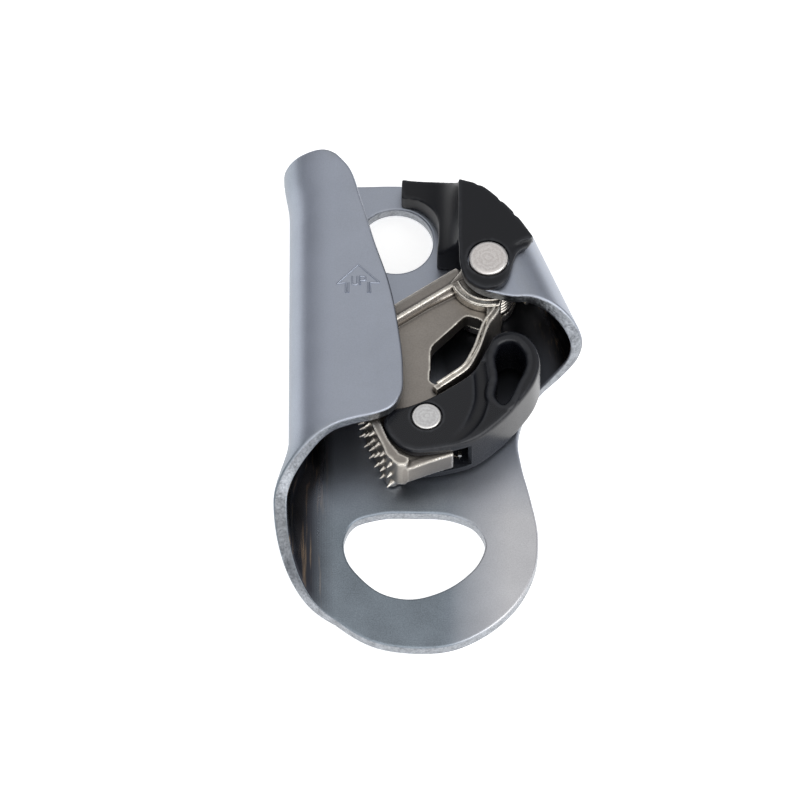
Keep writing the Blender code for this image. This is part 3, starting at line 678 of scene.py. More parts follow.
AXLE = (11.3, 24.0)
PIN = (-0.1, -7.0)
AXLE_STEEL = spun_steel("axle_steel", AXLE, (0.76, 0.73, 0.71, 1), (0.60, 0.56, 0.54, 1), 0.9)
PIN_STEEL = spun_steel("pin_steel", PIN, (0.72, 0.72, 0.72, 1), (0.58, 0.57, 0.57, 1), 0.8)
BUSH_STEEL = drawn_steel("bush_steel", (0.45, 0.45, 0.46, 1), 0.3)
SPRING_STEEL = drawn_steel("spring_steel", (0.66, 0.62, 0.56, 1), 0.25)
SMALL_SPRING_STEEL = drawn_steel("small_spring_steel", (0.7, 0.67, 0.62, 1), 0.22)
print("steels ready")

# %% [markdown]
# ## Bent sheet
# The body is one blank of 2.6 mm sheet. It is cut flat, then its left side is rolled round the rope
# channel until a flat lip lies over the rope, and its right side is folded over into an ear that holds
# the axle. The skin is made the same way: a flat plate with rounded edges is slit into narrow strips
# where it will bend, and each point is then rolled about the bend's axis.

# %% Sizes of the sheet
SHEET = 2.6
SHEET_EDGE = 0.5
INNER_GAP = 11.8
BEND_MID = INNER_GAP / 2 + SHEET / 2
BEND_Z = SHEET + INNER_GAP / 2
FRONT_Z = 2 * SHEET + INNER_GAP
CHANNEL_X = -16.8
FOLD_OUT = 22.8
FOLD = (math.cos(math.radians(22.8)), math.sin(math.radians(22.8)))
BEND_STEPS = 56
UPPER_EYE = (-5.7, 37.5)
UPPER_EYE_R = 6.85


def lip(x, y):
    return (2 * CHANNEL_X - math.pi * BEND_MID - x, y)


def wall(degrees, y):
    return (CHANNEL_X - BEND_MID * math.radians(degrees), y)


def fold_point(out, along):
    return (out * FOLD[0] - along * FOLD[1], out * FOLD[1] + along * FOLD[0])


def side(degrees, along):
    return fold_point(FOLD_OUT + BEND_MID * math.radians(degrees), along)


def ear(x, y):
    out = x * FOLD[0] + y * FOLD[1]
    return fold_point(2 * FOLD_OUT + math.pi * BEND_MID - out, y * FOLD[0] - x * FOLD[1])


def flare(y):
    """How far the channel's two mouths open outwards."""
    low = min(max((-9.0 - y) / 13.0, 0.0), 1.0)
    high = min(max((y - 38.0) / 9.0, 0.0), 1.0)
    return 2.8 * low * low * (3 - 2 * low) + 1.1 * high * high * (3 - 2 * high)


print("front of the lip at", FRONT_Z, "mm")

# %% [markdown]
# ## Rolling the blank
# A press bends flat metal about an axis, and the middle of the sheet keeps its length. So each point
# keeps its distance along the sheet, and that distance gives the angle about the bend. Faces are marked
# as cut edge, or as the inside of a bend that gets painted shade, before they move, while that is still
# easy to tell.

# %% Roll a flat blank
def bend_sheet(mesh, lengthwise=2.0):
    made = bmesh.new()
    made.from_mesh(mesh)
    bmesh.ops.dissolve_limit(made, angle_limit=0.01, verts=[], edges=made.edges)
    arc = math.pi * BEND_MID

    def slit(point, normal, zone):
        faces = [face for face in made.faces if zone(face)]
        parts = {item for face in faces for item in (*face.verts, *face.edges, face)}
        place = (point[0] * MM, point[1] * MM, 0.0)
        bmesh.ops.bisect_plane(made, geom=list(parts), dist=1e-7, plane_co=place, plane_no=(*normal, 0.0))

    for k in range(BEND_STEPS + 1):
        share = arc * k / BEND_STEPS
        slit((CHANNEL_X - share, 0.0), (1.0, 0.0), lambda face: True)
        slit(fold_point(FOLD_OUT + share, 0.0), FOLD, lambda face: True)
    low_mouth = [-42.0 + k * lengthwise for k in range(round(34 / lengthwise))]
    for y in (*low_mouth, *range(38, 48, 2)):
        slit((0.0, y), (0.0, 1.0), lambda face: -arc < face.calc_center_median().x / MM - CHANNEL_X < 0.0)
    cut = made.faces.layers.float.new("cut")
    # faces inside the channel and the fold get a mask for painted shade and a smoother polish
    inner = made.faces.layers.float.new("inner")
    for piece in made.faces:
        middle = piece.calc_center_median() / MM
        folded = middle.x * FOLD[0] + middle.y * FOLD[1] - FOLD_OUT
        depth = min(max((CHANNEL_X - middle.x) / 4, (folded - 3.0) / 6, 0.0), 1.0)
        piece[cut] = 1.0 - abs(piece.normal.z)
        piece[inner] = depth if piece.normal.z > 0.5 else 0.0
    for vert in made.verts:
        x, y, z = vert.co / MM
        radius = BEND_MID - z
        rolled = CHANNEL_X - x
        folded = x * FOLD[0] + y * FOLD[1] - FOLD_OUT
        height = SHEET / 2 + z
        if rolled > 0:
            turn = min(rolled / BEND_MID, math.pi)
            x = CHANNEL_X - (radius + flare(y)) * math.sin(turn) + max(rolled - arc, 0.0)
            height = BEND_Z - radius * math.cos(turn)
        elif folded > 0:
            turn = min(folded / BEND_MID, math.pi)
            out = FOLD_OUT + radius * math.sin(turn) - max(folded - arc, 0.0)
            x, y = fold_point(out, y * FOLD[0] - x * FOLD[1])
            height = BEND_Z - radius * math.cos(turn)
        vert.co = Vector((x, y, height)) * MM
    bmesh.ops.triangulate(made, faces=made.faces)
    return welded(to_mesh(made, "bent"))


print("each bend has", BEND_STEPS, "strips")

# %% [markdown]
# ## Outline of the blank
# The outline is given where each point ends up on the finished body: on the lip, on the channel's wall,
# on the plate, on the fold or on the ear. Small functions carry it back to the flat sheet.

# %% Outline of the blank
BLANK = [
    lip(-4.7, -3.6), lip(-6.6, -6.8), lip(-9.6, -8.2), lip(-12.9, -9.0), lip(-16.4, -10.2),
    wall(160, -12.0), wall(138, -14.6), wall(115, -18.2), wall(92, -22.8), wall(70, -29.2),
    wall(46, -35.8), wall(22, -40.6),
    (-16.2, -43.9), (-9.9, -48.0), (-2.6, -49.4), (4.6, -48.8), (11.4, -45.2), (16.8, -39.4),
    (19.8, -32.4), (20.3, -25.4), (18.9, -17.4), (17.3, -10.6), (16.7, -5.6), (17.7, -0.4), (20.0, 4.3),
    side(6, -2.0), side(32, -1.0), side(62, -0.4), side(92, 0.6), side(120, 3.2), side(150, 6.4),
    side(176, 8.6),
    ear(16.4, 16.9), ear(12.6, 17.6), ear(9.2, 18.9), ear(6.9, 21.4), ear(6.3, 24.6), ear(6.6, 29.0),
    ear(9.0, 30.8),
    side(172, 23.4), side(130, 23.4), side(90, 23.8), side(56, 25.4), side(28, 29.0), side(4, 34.6),
    (5.2, 45.4), (1.2, 48.6), (-4.0, 49.5), (-11.0, 49.5),
    wall(6, 49.3), wall(60, 48.2), wall(100, 48.0), wall(140, 48.8),
    lip(-18.4, 48.9), lip(-15.0, 45.9), lip(-12.0, 37.6), lip(-9.6, 28.8), lip(-7.0, 20.2),
    lip(-5.1, 9.5),
    lip(-4.4, 1.4),
]
LOWER_EYE = [
    (-15.2, -27.0), (-13.4, -22.9), (-9.0, -21.2), (-2.0, -20.9), (4.4, -21.4), (8.8, -23.6),
    (10.6, -27.3),
    (9.6, -31.0), (6.6, -34.7), (2.2, -37.6), (-3.2, -39.0), (-8.4, -37.7), (-12.2, -34.4),
    (-14.6, -30.8),
]
HOLES = [smooth(LOWER_EYE), ring(UPPER_EYE, UPPER_EYE_R)]
print("blank has", len(smooth(BLANK)), "outline points")

# %% [markdown]
# ## A bead along a path
# Raised marks, polished ridges and spring wire are all one thing: a round section that follows a line.
# A Geometry Nodes tree turns the edges of a mesh into a curve and sweeps a circle along it.

# %% Geometry Nodes: bead along a path
def new_tree(name, inputs):
    tree = bpy.data.node_groups.new(name, "GeometryNodeTree")
    tree.interface.new_socket("Geometry", in_out="INPUT", socket_type="NodeSocketGeometry")
    for label, kind, value in inputs:
        socket = tree.interface.new_socket(label, in_out="INPUT", socket_type=kind)
        if value is not None:
            socket.default_value = value
    tree.interface.new_socket("Geometry", in_out="OUTPUT", socket_type="NodeSocketGeometry")
    return tree, tree.nodes.new("NodeGroupInput").outputs, tree.nodes.new("NodeGroupOutput").inputs


def finish_tree(tree, shape, finish, exit_socket):
    real = put(tree, "GeometryNodeRealizeInstances", [("Geometry", shape)]).outputs[0]
    coat = put(tree, "GeometryNodeSetMaterial", [("Geometry", real), ("Material", finish)]).outputs[0]
    tree.links.new(coat, exit_socket)


def grown(path, tree, **sizes):
    """Runs a tree on a mesh of edges and gives back a plain mesh."""
    body = scratch(path)
    step = body.modifiers.new(tree.name, "NODES")
    step.node_group = tree
    for item in tree.interface.items_tree:
        key = item.name.replace(" ", "_")
        if item.in_out == "INPUT" and key in sizes:
            step[item.identifier] = sizes[key]
    body.update_tag()
    return settled(body)


def path_mesh(*lines):
    """Edges through points in mm. A line is (points, closed)."""
    made = bmesh.new()
    for points, closed in lines:
        spots = [made.verts.new(Vector(p) * MM) for p in points]
        for a, b in zip(spots, spots[1:] + (spots[:1] if closed else [])):
            made.edges.new((a, b))
    return to_mesh(made, "path")


BEAD, given, gives = new_tree(
    "bead_along_path",
    [
        ("Radius", "NodeSocketFloat", 0.0004), ("Sides", "NodeSocketInt", 12),
        ("Finish", "NodeSocketMaterial", None)
    ],
)
line = put(BEAD, "GeometryNodeMeshToCurve", [("Mesh", given["Geometry"])]).outputs[0]
section = put(
    BEAD, "GeometryNodeCurvePrimitiveCircle",
    [("Resolution", given["Sides"]), ("Radius", given["Radius"])]
)
sweep = put(
    BEAD, "GeometryNodeCurveToMesh",
    [("Curve", line), ("Profile Curve", section.outputs[0]), ("Fill Caps", True)]
)
finish_tree(BEAD, sweep.outputs[0], given["Finish"], gives["Geometry"])
print("bead_along_path:", len(BEAD.nodes), "nodes")

# %% [markdown]
# ## Marks on the lip
# An arrow with the word UP shows which way the rope must run. It is pressed from behind, so its
# strokes stand a little proud with soft shoulders. Thin beads, half sunk in the lip, give that.

# %% Press the arrow into the lip
STROKE = 0.2
top_of_lip = FRONT_Z - 0.04


def stroke(*points):
    return ([(x, y, top_of_lip) for x, y in points], False)


ARROW = [
    stroke((-16.5, 19.5), (-12.6, 23.6), (-8.7, 19.7)),
    stroke((-16.5, 19.5), (-14.95, 19.75), (-14.9, 17.6)),
    stroke((-14.45, 17.6), (-14.4, 19.75)),
    stroke((-8.7, 19.7), (-10.45, 19.75), (-10.4, 17.6)),
    stroke((-10.85, 17.6), (-10.8, 19.75)),
]
WORD = [
    stroke(
        (-13.75, 21.1), (-13.75, 19.6), (-13.55, 19.3), (-13.2, 19.25), (-12.9, 19.4), (-12.8, 19.7),
        (-12.8, 21.1)
    ),
    stroke(
        (-12.3, 19.25), (-12.3, 21.1), (-11.6, 21.1), (-11.3, 20.9), (-11.3, 20.4), (-11.6, 20.2),
        (-12.3, 20.2)
    ),
]
marks = grown(path_mesh(*ARROW, *WORD), BEAD, Radius=STROKE * MM, Sides=10, Finish=ALUMINIUM)
print("marks have", len(marks.polygons), "faces")

# %% [markdown]
# ## The body
# The blank and its holes are made as one plate, rolled, and drilled for the axle after the bend, as in
# the workshop. The arrow rides on the same body.

# %% Make the body
def in_scene(name, mesh, finish, body, *nodes):
    """Puts a finished skin in the scene, on its body, in place of its solid nodes."""
    mesh.materials.clear()
    mesh.materials.append(finish)
    obj = bpy.data.objects.new(name, mesh)
    bpy.context.scene.collection.objects.link(obj)
    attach(obj, body)
    if nodes:
        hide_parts(*nodes)
    print(name, len(mesh.polygons), "faces on", body)
    return obj


AXLE_HOLE_R = 2.8
BELOW, ABOVE = -1.0, 30.0  # ends of a cutter that goes right through
sheet = bend_sheet(plate([smooth(BLANK), *HOLES], -SHEET / 2, SHEET / 2, SHEET_EDGE, 4))
sheet = boolean(sheet, [post(AXLE, AXLE_HOLE_R, BELOW, ABOVE)])
sheet = mark_curvature(smooth_shaded(sheet, 32))
body_sheet = in_scene("body_sheet", sheet, ALUMINIUM, "frame", "frame")
lip_marks = in_scene("lip_marks", smooth_shaded(marks), ALUMINIUM, "frame")

# %% [markdown]
# ## Toothed cam
# The cam is one casting: a thin web, a thick flange along its top, a rib along its back, a strip that
# carries the teeth, and two cheeks that hold the axle. The parts are drawn as plates at their own
# heights, melted together, and only then bored, so that the bores stay crisp.

# %% Heights in the cam
CAM_LOW, CAM_HIGH = 3.1, 13.7
WEB_LOW, WEB_HIGH = 8.2, 11.6
BAR_LOW, BAR_HIGH = 7.0, 11.7
NOSE_LOW = 6.3
HUB_CHEEK = 2.1
BUSH_R, PIN_R, CLEARANCE = 3.6, 1.6, 0.3

FACE = [
    (-10.3, 13.5), (-11.0, 8.0), (-11.5, 2.0), (-11.6, -2.5), (-11.2, -5.9), (-10.0, -8.9), (-8.4, -12.5),
    (-6.6, -15.7)
]
WEB_LINE = [
    (6.6, 25.4, 1), (-5.4, 16.5, 1), (-10.1, 13.2, 1), (-10.8, 8.0), (-11.3, 2.0), (-11.4, -2.5),
    (-11.0, -5.8),
    (-9.8, -8.8), (-8.2, -12.4), (-6.4, -15.6, 1), (-3.5, -16.2, 1), (2.2, -13.8, 1), (3.2, -10.4),
    (4.3, -7.0),
    (4.7, -2.6), (5.0, 1.4), (7.5, 3.9), (9.1, 7.0), (11.3, 13.2), (13.0, 17.0, 1), (11.3, 24.0, 1),
]
WINDOW = [
    (0.5, 1.5, 0.9), (0.8, 9.2, 2.5), (7.2, 15.9, 1.2), (10.3, 14.9, 1.0), (9.9, 11.4, 2.0),
    (5.6, 3.9, 3.0), (2.2, 1.3, 0.8)
]
FLANGE = [
    (8.0, 26.6, 1), (-5.5, 16.9, 1), (-10.6, 13.5, 1), (-11.0, 10.9, 1), (-9.0, 11.4, 1), (-5.0, 14.2, 1),
    (7.0, 21.2, 1)
]
STRIP = FACE + [
    (-6.0, -15.7, 1), (-4.8, -15.0, 1), (-6.9, -12.0), (-8.4, -8.4), (-9.6, -5.4), (-9.9, -2.3),
    (-9.8, 2.0), (-9.3, 8.0), (-8.4, 12.9, 1)
]
RIB = [
    (13.6, 17.0), (11.7, 13.2), (9.5, 6.8), (7.7, 3.5), (5.0, 1.2), (1.8, -1.2, 1), (1.0, -0.2, 1),
    (3.3, 1.2),
    (6.6, 4.1), (9.1, 8.1), (10.7, 12.9), (11.0, 17.6, 1), (12.6, 19.2, 1),
]
NOSE = [(-7.4, -14.4, 1), (-6.4, -16.2), (-5.2, -17.1), (-3.8, -17.0), (-3.2, -15.7, 1), (-5.3, -14.6, 1)]
BAR = [
    (-5.0, -16.6, 1), (-3.6, -17.1, 1), (1.7, -15.0), (4.8, -13.9, 1), (4.8, -12.5, 1), (1.5, -13.5),
    (-3.6, -15.6, 1)
]
wide = [Vector(polar(AXLE, 7.4, degrees)) for degrees in range(198, 289, 4)]
small = [Vector(polar(AXLE, 5.1, degrees)) for degrees in range(302, 541, 6)]
HUB = wide + small
print("tooth face has", len(FACE), "points")

# %% [markdown]
# ## Top flange
# The flange along the cam's top has a raised crest and a sloping shoulder. It is a bar with one section,
# so two copies of the section, one at each end, are enough to loft it.

# %% Shape the top flange
def roof(near, far, section):
    """A straight bar between two points with the same (across, z) section at both ends."""
    along = (Vector(far) - Vector(near)).normalized()
    across = Vector((along.y, -along.x))
    return loft([[(*(Vector(end) + across * out), z) for out, z in section] for end in (near, far)])


RIDGE = [
    (-2.2, 9.0), (1.9, 9.0), (1.9, 12.7), (1.35, 13.75), (0.85, 13.8), (0.45, 13.15), (-1.6, 12.8),
    (-2.2, 12.4)
]
flange_roof = roof((-9.2, 13.0), (6.6, 24.0), RIDGE)
print("ridge section has", len(RIDGE), "corners")

# %% [markdown]
# ## The casting
# The plates overlap, and the remesh melts them into one skin with soft corners. The hub's cheeks and the
# bores come after it by Boolean, because machined faces keep their edges.

# %% Cast the cam
parts = [
    plate([smooth(WEB_LINE), rounded(WINDOW)], WEB_LOW, WEB_HIGH),
    plate([smooth(FLANGE)], CAM_LOW, CAM_HIGH - 1.1),
    plate([smooth(RIB)], CAM_LOW, CAM_HIGH - 0.3),
    plate([smooth(STRIP)], CAM_LOW, CAM_HIGH),
    plate([smooth(BAR)], BAR_LOW, BAR_HIGH),
    plate([smooth(NOSE)], NOSE_LOW, CAM_HIGH - 0.1),
    flange_roof,
]
casting = moulded(together(parts), 0.2, 5)
cheek_tools = [
    plate([HUB], CAM_LOW, CAM_LOW + HUB_CHEEK, 0.2), plate([HUB], CAM_HIGH - HUB_CHEEK, CAM_HIGH, 0.25)
]
casting = boolean(casting, [post(AXLE, 5.8, CAM_LOW + HUB_CHEEK, CAM_HIGH - HUB_CHEEK)])
casting = boolean(casting, cheek_tools, "UNION")
casting = boolean(
    casting, [post(AXLE, BUSH_R + CLEARANCE, BELOW, ABOVE), post(PIN, PIN_R + CLEARANCE, BELOW, ABOVE)]
)
casting = mark_curvature(smooth_shaded(casting, 40), 3, 1.3)
cam_casting = in_scene("cam_casting", casting, CAST, "cam", "cam")

# %% [markdown]
# ## Ridges on the cam
# The near face has raised lines: a double line along the back rib and rings about the axle.
# Polished beads along those paths give the lines their bright crests.

# %% Lay the ridges
def offset_line(points, distance):
    """The line moved sideways, to the left of its direction."""
    spots = [Vector(p[:2]) for p in points]
    moved = []
    for i, spot in enumerate(spots):
        ahead = (spots[min(i + 1, len(spots) - 1)] - spots[max(i - 1, 0)]).normalized()
        moved.append(spot + Vector((-ahead.y, ahead.x)) * distance)
    return moved


def at_height(points, z):
    return [(p[0], p[1], z) for p in points]


def nearest(line, spot):
    return min(range(len(line)), key=lambda i: (line[i] - Vector(spot)).length)


back = smooth(RIB, 0.5)
back = back[: nearest(back, (1.8, -1.2)) - 1]
lines = [(at_height(offset_line(back, -across), CAM_HIGH - 0.4), False) for across in (0.35, 1.25)]
arc = [polar(AXLE, 7.0, degrees) for degrees in range(206, 284, 3)]
inner_arc = [polar(AXLE, 5.9, degrees) for degrees in range(200, 290, 3)]
lines += [(at_height(arc, CAM_HIGH - 0.05), False), (at_height(inner_arc, CAM_HIGH - 0.05), False)]
ridges = grown(path_mesh(*lines), BEAD, Radius=0.3 * MM, Sides=14, Finish=CAST)
cam_ridges = in_scene("cam_ridges", mark_curvature(smooth_shaded(ridges)), CAST, "cam")

# %% [markdown]
# ## Teeth
# The teeth are small spikes in staggered rows that lean down the rope, so that a pull down drives them
# in. They repeat along a path, so a Geometry Nodes tree places them: it walks the face at one pitch,
# sets a column of points at each stop, four and three by turns, and puts a cone on every point.

# %% Geometry Nodes: toothed face
TEETH, given, gives = new_tree(
    "toothed_face",
    [
        ("Pitch", "NodeSocketFloat", 0.0023),
        ("Height", "NodeSocketFloat", 0.0018),
        ("Radius", "NodeSocketFloat", 0.0006),
        ("Width", "NodeSocketFloat", 0.0106),
        ("Columns", "NodeSocketInt", 4),
        ("Lean", "NodeSocketFloat", 0.45),
        ("Finish", "NodeSocketMaterial", None),
    ],
)
line = put(TEETH, "GeometryNodeMeshToCurve", [("Mesh", given["Geometry"])]).outputs[0]
stops = put(
    TEETH, "GeometryNodeCurveToPoints", [("Curve", line), ("Length", given["Pitch"])], mode="LENGTH"
)
outward = put(
    TEETH, "ShaderNodeVectorMath", [(0, stops.outputs["Tangent"]), (1, (0.0, 0.0, 1.0))],
    operation="CROSS_PRODUCT"
).outputs[0]
down = put(
    TEETH, "ShaderNodeCombineXYZ", [(1, sum_of(TEETH, "MULTIPLY", given["Lean"], -1.0))]
).outputs[0]
lean = put(TEETH, "ShaderNodeVectorMath", [(0, outward), (1, down)], operation="ADD").outputs[0]
marked = put(
    TEETH, "GeometryNodeStoreNamedAttribute",
    [("Geometry", stops.outputs["Points"]), ("Name", "lean"), ("Value", lean)],
    data_type="FLOAT_VECTOR", domain="POINT",
).outputs[0]
number = put(TEETH, "GeometryNodeInputIndex").outputs[0]
odd = sum_of(TEETH, "MODULO", number, 2.0)
columns = []
for row, fewer in ((0.0, 0), (1.0, 1)):
    count = sum_of(TEETH, "SUBTRACT", given["Columns"], float(fewer))
    gap = sum_of(TEETH, "DIVIDE", given["Width"], count)
    first = put(TEETH, "ShaderNodeCombineXYZ", [(2, sum_of(TEETH, "MULTIPLY", gap, 0.5))]).outputs[0]
    apart = put(TEETH, "ShaderNodeCombineXYZ", [(2, gap)]).outputs[0]
    column = put(
        TEETH, "GeometryNodeMeshLine", [("Count", count), ("Start Location", first), ("Offset", apart)]
    ).outputs[0]
    chosen = put(
        TEETH, "FunctionNodeCompare", [(0, odd), (1, row), ("Epsilon", 0.1)], data_type="FLOAT",
        operation="EQUAL"
    ).outputs[0]
    columns.append(
        put(
            TEETH, "GeometryNodeInstanceOnPoints",
            [("Points", marked), ("Selection", chosen), ("Instance", column)]
        ).outputs[0]
    )
both = put(TEETH, "GeometryNodeJoinGeometry")
for column in columns:
    TEETH.links.new(column, both.inputs[0])
spots = put(TEETH, "GeometryNodeRealizeInstances", [("Geometry", both.outputs[0])]).outputs[0]
named = put(
    TEETH, "GeometryNodeInputNamedAttribute", [("Name", "lean")], data_type="FLOAT_VECTOR"
).outputs[0]
turn = put(TEETH, "FunctionNodeAlignRotationToVector", [("Vector", named)], axis="Z").outputs[0]
spike = put(
    TEETH, "GeometryNodeMeshCone",
    [
        ("Vertices", 10), ("Side Segments", 3), ("Radius Top", 0.00009),
        ("Radius Bottom", given["Radius"]), ("Depth", given["Height"])
    ],
)
teeth = put(
    TEETH, "GeometryNodeInstanceOnPoints",
    [("Points", spots), ("Instance", spike.outputs[0]), ("Rotation", turn)]
).outputs[0]
finish_tree(TEETH, teeth, given["Finish"], gives["Geometry"])
print("toothed_face:", len(TEETH.nodes), "nodes")

# %% [markdown]
# ## The teeth in place
# The tree walks along the face, just under the skin of the casting, so that each cone's base is sunk.

# %% Set the teeth
root_line = [p + Vector((0.5, 0.1)) for p in smooth(FACE + [(0.0, 0.0)], 0.3)]
face_path = path_mesh((at_height(root_line[: nearest(root_line, (-6.1, -15.6))], CAM_LOW), False))
teeth_mesh = grown(
    face_path, TEETH, Pitch=2.3 * MM, Height=1.75 * MM, Radius=0.66 * MM, Width=(CAM_HIGH - CAM_LOW) * MM,
    Columns=4, Lean=0.45, Finish=CAST,
)
cam_teeth = in_scene("cam_teeth", mark_curvature(smooth_shaded(welded(teeth_mesh))), CAST, "cam")

# %% [markdown]
# ## Springs
# Each spring is a coil of round wire with two short legs. Geometry Nodes has a spiral curve, so turns,
# radius, height and wire are named inputs, and the legs come in as edges and get the same wire.

# %% Geometry Nodes: coil spring
COIL, given, gives = new_tree(
    "coil_spring",
    [
        ("Turns", "NodeSocketFloat", 5.0),
        ("Coil radius", "NodeSocketFloat", 0.0047),
        ("Rise", "NodeSocketFloat", 0.005),
        ("Wire radius", "NodeSocketFloat", 0.00045),
        ("Start angle", "NodeSocketFloat", 0.0),
        ("Centre", "NodeSocketVector", (0.0, 0.0, 0.0)),
        ("Finish", "NodeSocketMaterial", None),
    ],
)
spiral = put(
    COIL, "GeometryNodeCurveSpiral",
    [("Resolution", 40), ("Rotations", given["Turns"]), ("Start Radius", given["Coil radius"]),
     ("End Radius", given["Coil radius"]), ("Height", given["Rise"]), ("Reverse", True)],
).outputs[0]
twist = put(COIL, "ShaderNodeCombineXYZ", [(2, given["Start angle"])]).outputs[0]
placed = put(
    COIL, "GeometryNodeTransform",
    [("Geometry", spiral), ("Translation", given["Centre"]), ("Rotation", twist)]
).outputs[0]
legs = put(COIL, "GeometryNodeMeshToCurve", [("Mesh", given["Geometry"])]).outputs[0]
whole = put(COIL, "GeometryNodeJoinGeometry")
COIL.links.new(placed, whole.inputs[0])
COIL.links.new(legs, whole.inputs[0])
section = put(
    COIL, "GeometryNodeCurvePrimitiveCircle", [("Resolution", 14), ("Radius", given["Wire radius"])]
).outputs[0]
sweep = put(
    COIL, "GeometryNodeCurveToMesh",
    [("Curve", whole.outputs[0]), ("Profile Curve", section), ("Fill Caps", True)]
)
finish_tree(COIL, sweep.outputs[0], given["Finish"], gives["Geometry"])
print("coil_spring:", len(COIL.nodes), "nodes")

# %% [markdown]
# ## The two springs
# The large coil turns round the axle's bush and presses the cam shut. The small one sits on the catch
# pin, and its bright end shows in the slot of the catch. The legs are short edge paths.

# %% Wind the springs
END_DEG, TURNS, COIL_R, WIRE_R = 215.0, 5.483, 4.7, 0.45
low, high = 5.8, 11.0
start = END_DEG - 360 * TURNS
legs = [
    (
        [
            (*polar(AXLE, 7.4, start - 56), low), (*polar(AXLE, COIL_R, start - 12), low),
            (*polar(AXLE, COIL_R, start), low)
        ],
        False
    ),
    ([(*polar(AXLE, COIL_R, END_DEG), high), (*polar(AXLE, COIL_R, END_DEG + 2), CAM_HIGH - 0.6)], False),
]
wound = grown(
    path_mesh(*legs), COIL, Turns=TURNS, Coil_radius=COIL_R * MM, Rise=(high - low) * MM,
    Wire_radius=WIRE_R * MM,
    Start_angle=math.radians(start % 360), Centre=tuple(Vector((*AXLE, low)) * MM), Finish=SPRING_STEEL,
)
cam_coil = in_scene("cam_coil", smooth_shaded(wound), SPRING_STEEL, "cam", "cam_spring")
low, high = 6.05, 7.55
legs = [
    (
        [
            (6.0, -13.1, 9.9), (6.0, -12.3, 9.9), (5.8, -12.0, high), (*polar(PIN, 4.0, -46.0), low),
            (*polar(PIN, 2.4, -25.0), low)
        ],
        False
    ),
    ([(*polar(PIN, 2.4, -25.0), high), (*polar(PIN, 3.9, 15.0), high)], False),
]
wound = grown(
    path_mesh(*legs), COIL, Turns=2.0, Coil_radius=2.4 * MM, Rise=(high - low) * MM,
    Wire_radius=0.35 * MM,
    Start_angle=math.radians(-25.0), Centre=tuple(Vector((*PIN, low)) * MM), Finish=SMALL_SPRING_STEEL,
)
catch_coil = in_scene("catch_coil", smooth_shaded(wound), SMALL_SPRING_STEEL, "cam", "catch_spring")

# %% [markdown]
# ## Rivets
# The axle has a domed head that is spun over the front of the ear, and a flush countersunk tail. The
# catch pin is a smaller one. Both are profiles turned about their axis, with small rolled rims.

# %% Turn the rivets
def arc_points(centre, radius, first, final, parts=6):
    return [
        (centre[0] + radius * math.cos(math.radians(a)), centre[1] + radius * math.sin(math.radians(a)))
        for a in (first + (final - first) * k / parts for k in range(parts + 1))
    ]


head, top = FRONT_Z + 0.3, FRONT_Z + 2.0
profile = [(0, top - 0.06), (1.6, top - 0.02), (2.7, top)] + arc_points((3.0, top - 0.6), 0.6, 90, 0)
profile += [(3.6, head + 0.1), (3.5, head), (2.5, head), (2.5, 1.4), (3.9, 0.12), (3.8, 0.03), (0, 0.03)]
axle_rivet = in_scene(
    "axle_rivet", mark_curvature(smooth_shaded(turned(profile, AXLE))), AXLE_STEEL, "frame", "cam_axle"
)
top, tail = 14.1, 3.3
profile = [(0, top - 0.05), (1.7, top), (2.2, top)] + arc_points((2.35, top - 0.35), 0.35, 90, 0)
profile += [
    (2.7, top - 1.05), (2.6, top - 1.1), (1.6, top - 1.1), (1.6, tail + 0.95), (2.3, tail + 0.85),
    (2.3, tail + 0.15), (2.15, tail), (0, tail)
]
pin_rivet = in_scene(
    "pin_rivet", mark_curvature(smooth_shaded(turned(profile, PIN))), PIN_STEEL, "cam", "catch_pin"
)

# %% [markdown]
# ## Catch
# The catch is a moulded lever. Two flat cheeks hold the pin and straddle the cam, and a crowned loop
# with a soft raised rim takes a finger or a cord. The outer wall of the loop is tall and glossy.

# %% Outline of the catch
CATCH = [
    (-8.0, -7.6), (-7.0, -10.7), (-5.1, -13.0), (-2.6, -14.2), (0.4, -14.1), (4.6, -13.3), (8.4, -12.0),
    (13.4, -8.0),
    (17.2, -3.5), (20.0, 1.2), (20.8, 4.5), (20.2, 7.8), (18.3, 10.5), (15.0, 11.6), (12.3, 10.5),
    (11.0, 8.0),
    (9.9, 5.6), (8.1, 2.6), (5.3, 0.3), (2.0, -1.9), (-3.6, -4.6), (-6.9, -5.6),
]
LOOP_HOLE = [
    (15.6, 9.2), (17.8, 7.0), (18.2, 4.6), (16.8, 0.6), (13.6, -4.2), (12.7, -3.2), (12.9, 1.6),
    (12.6, 6.6), (13.5, 8.5)
]
CATCH_LOW, CATCH_HIGH = 3.3, 13.9
CHEEK_LOW_TOP, CHEEK_HIGH_BASE = 5.4, 12.0
mouth = [polar(PIN, 11.0, degrees) for degrees in range(-175, -30, 6)]
inside = [polar(PIN, 9.0, degrees) for degrees in range(-32, 24, 4)]
POCKET = [Vector(p) for p in mouth + inside + [(7.4, -1.0), (6.4, 4.0), (-14.0, 4.0)]]
print("catch outline has", len(CATCH), "points")

# %% [markdown]
# ## Moulding the catch
# The lever is a thick plate with a hole. A round cutter takes the valley between the cheek and the loop,
# a round bead makes the raised rim, and the pocket for the cam is cut last, with crisp walls.

# %% Mould the catch
def tube(points, radius, closed=False, sides=16):
    """A round cutter or rib through points in mm."""
    return grown(path_mesh((points, closed)), BEAD, Radius=radius * MM, Sides=sides, Finish=CATCH_NYLON)


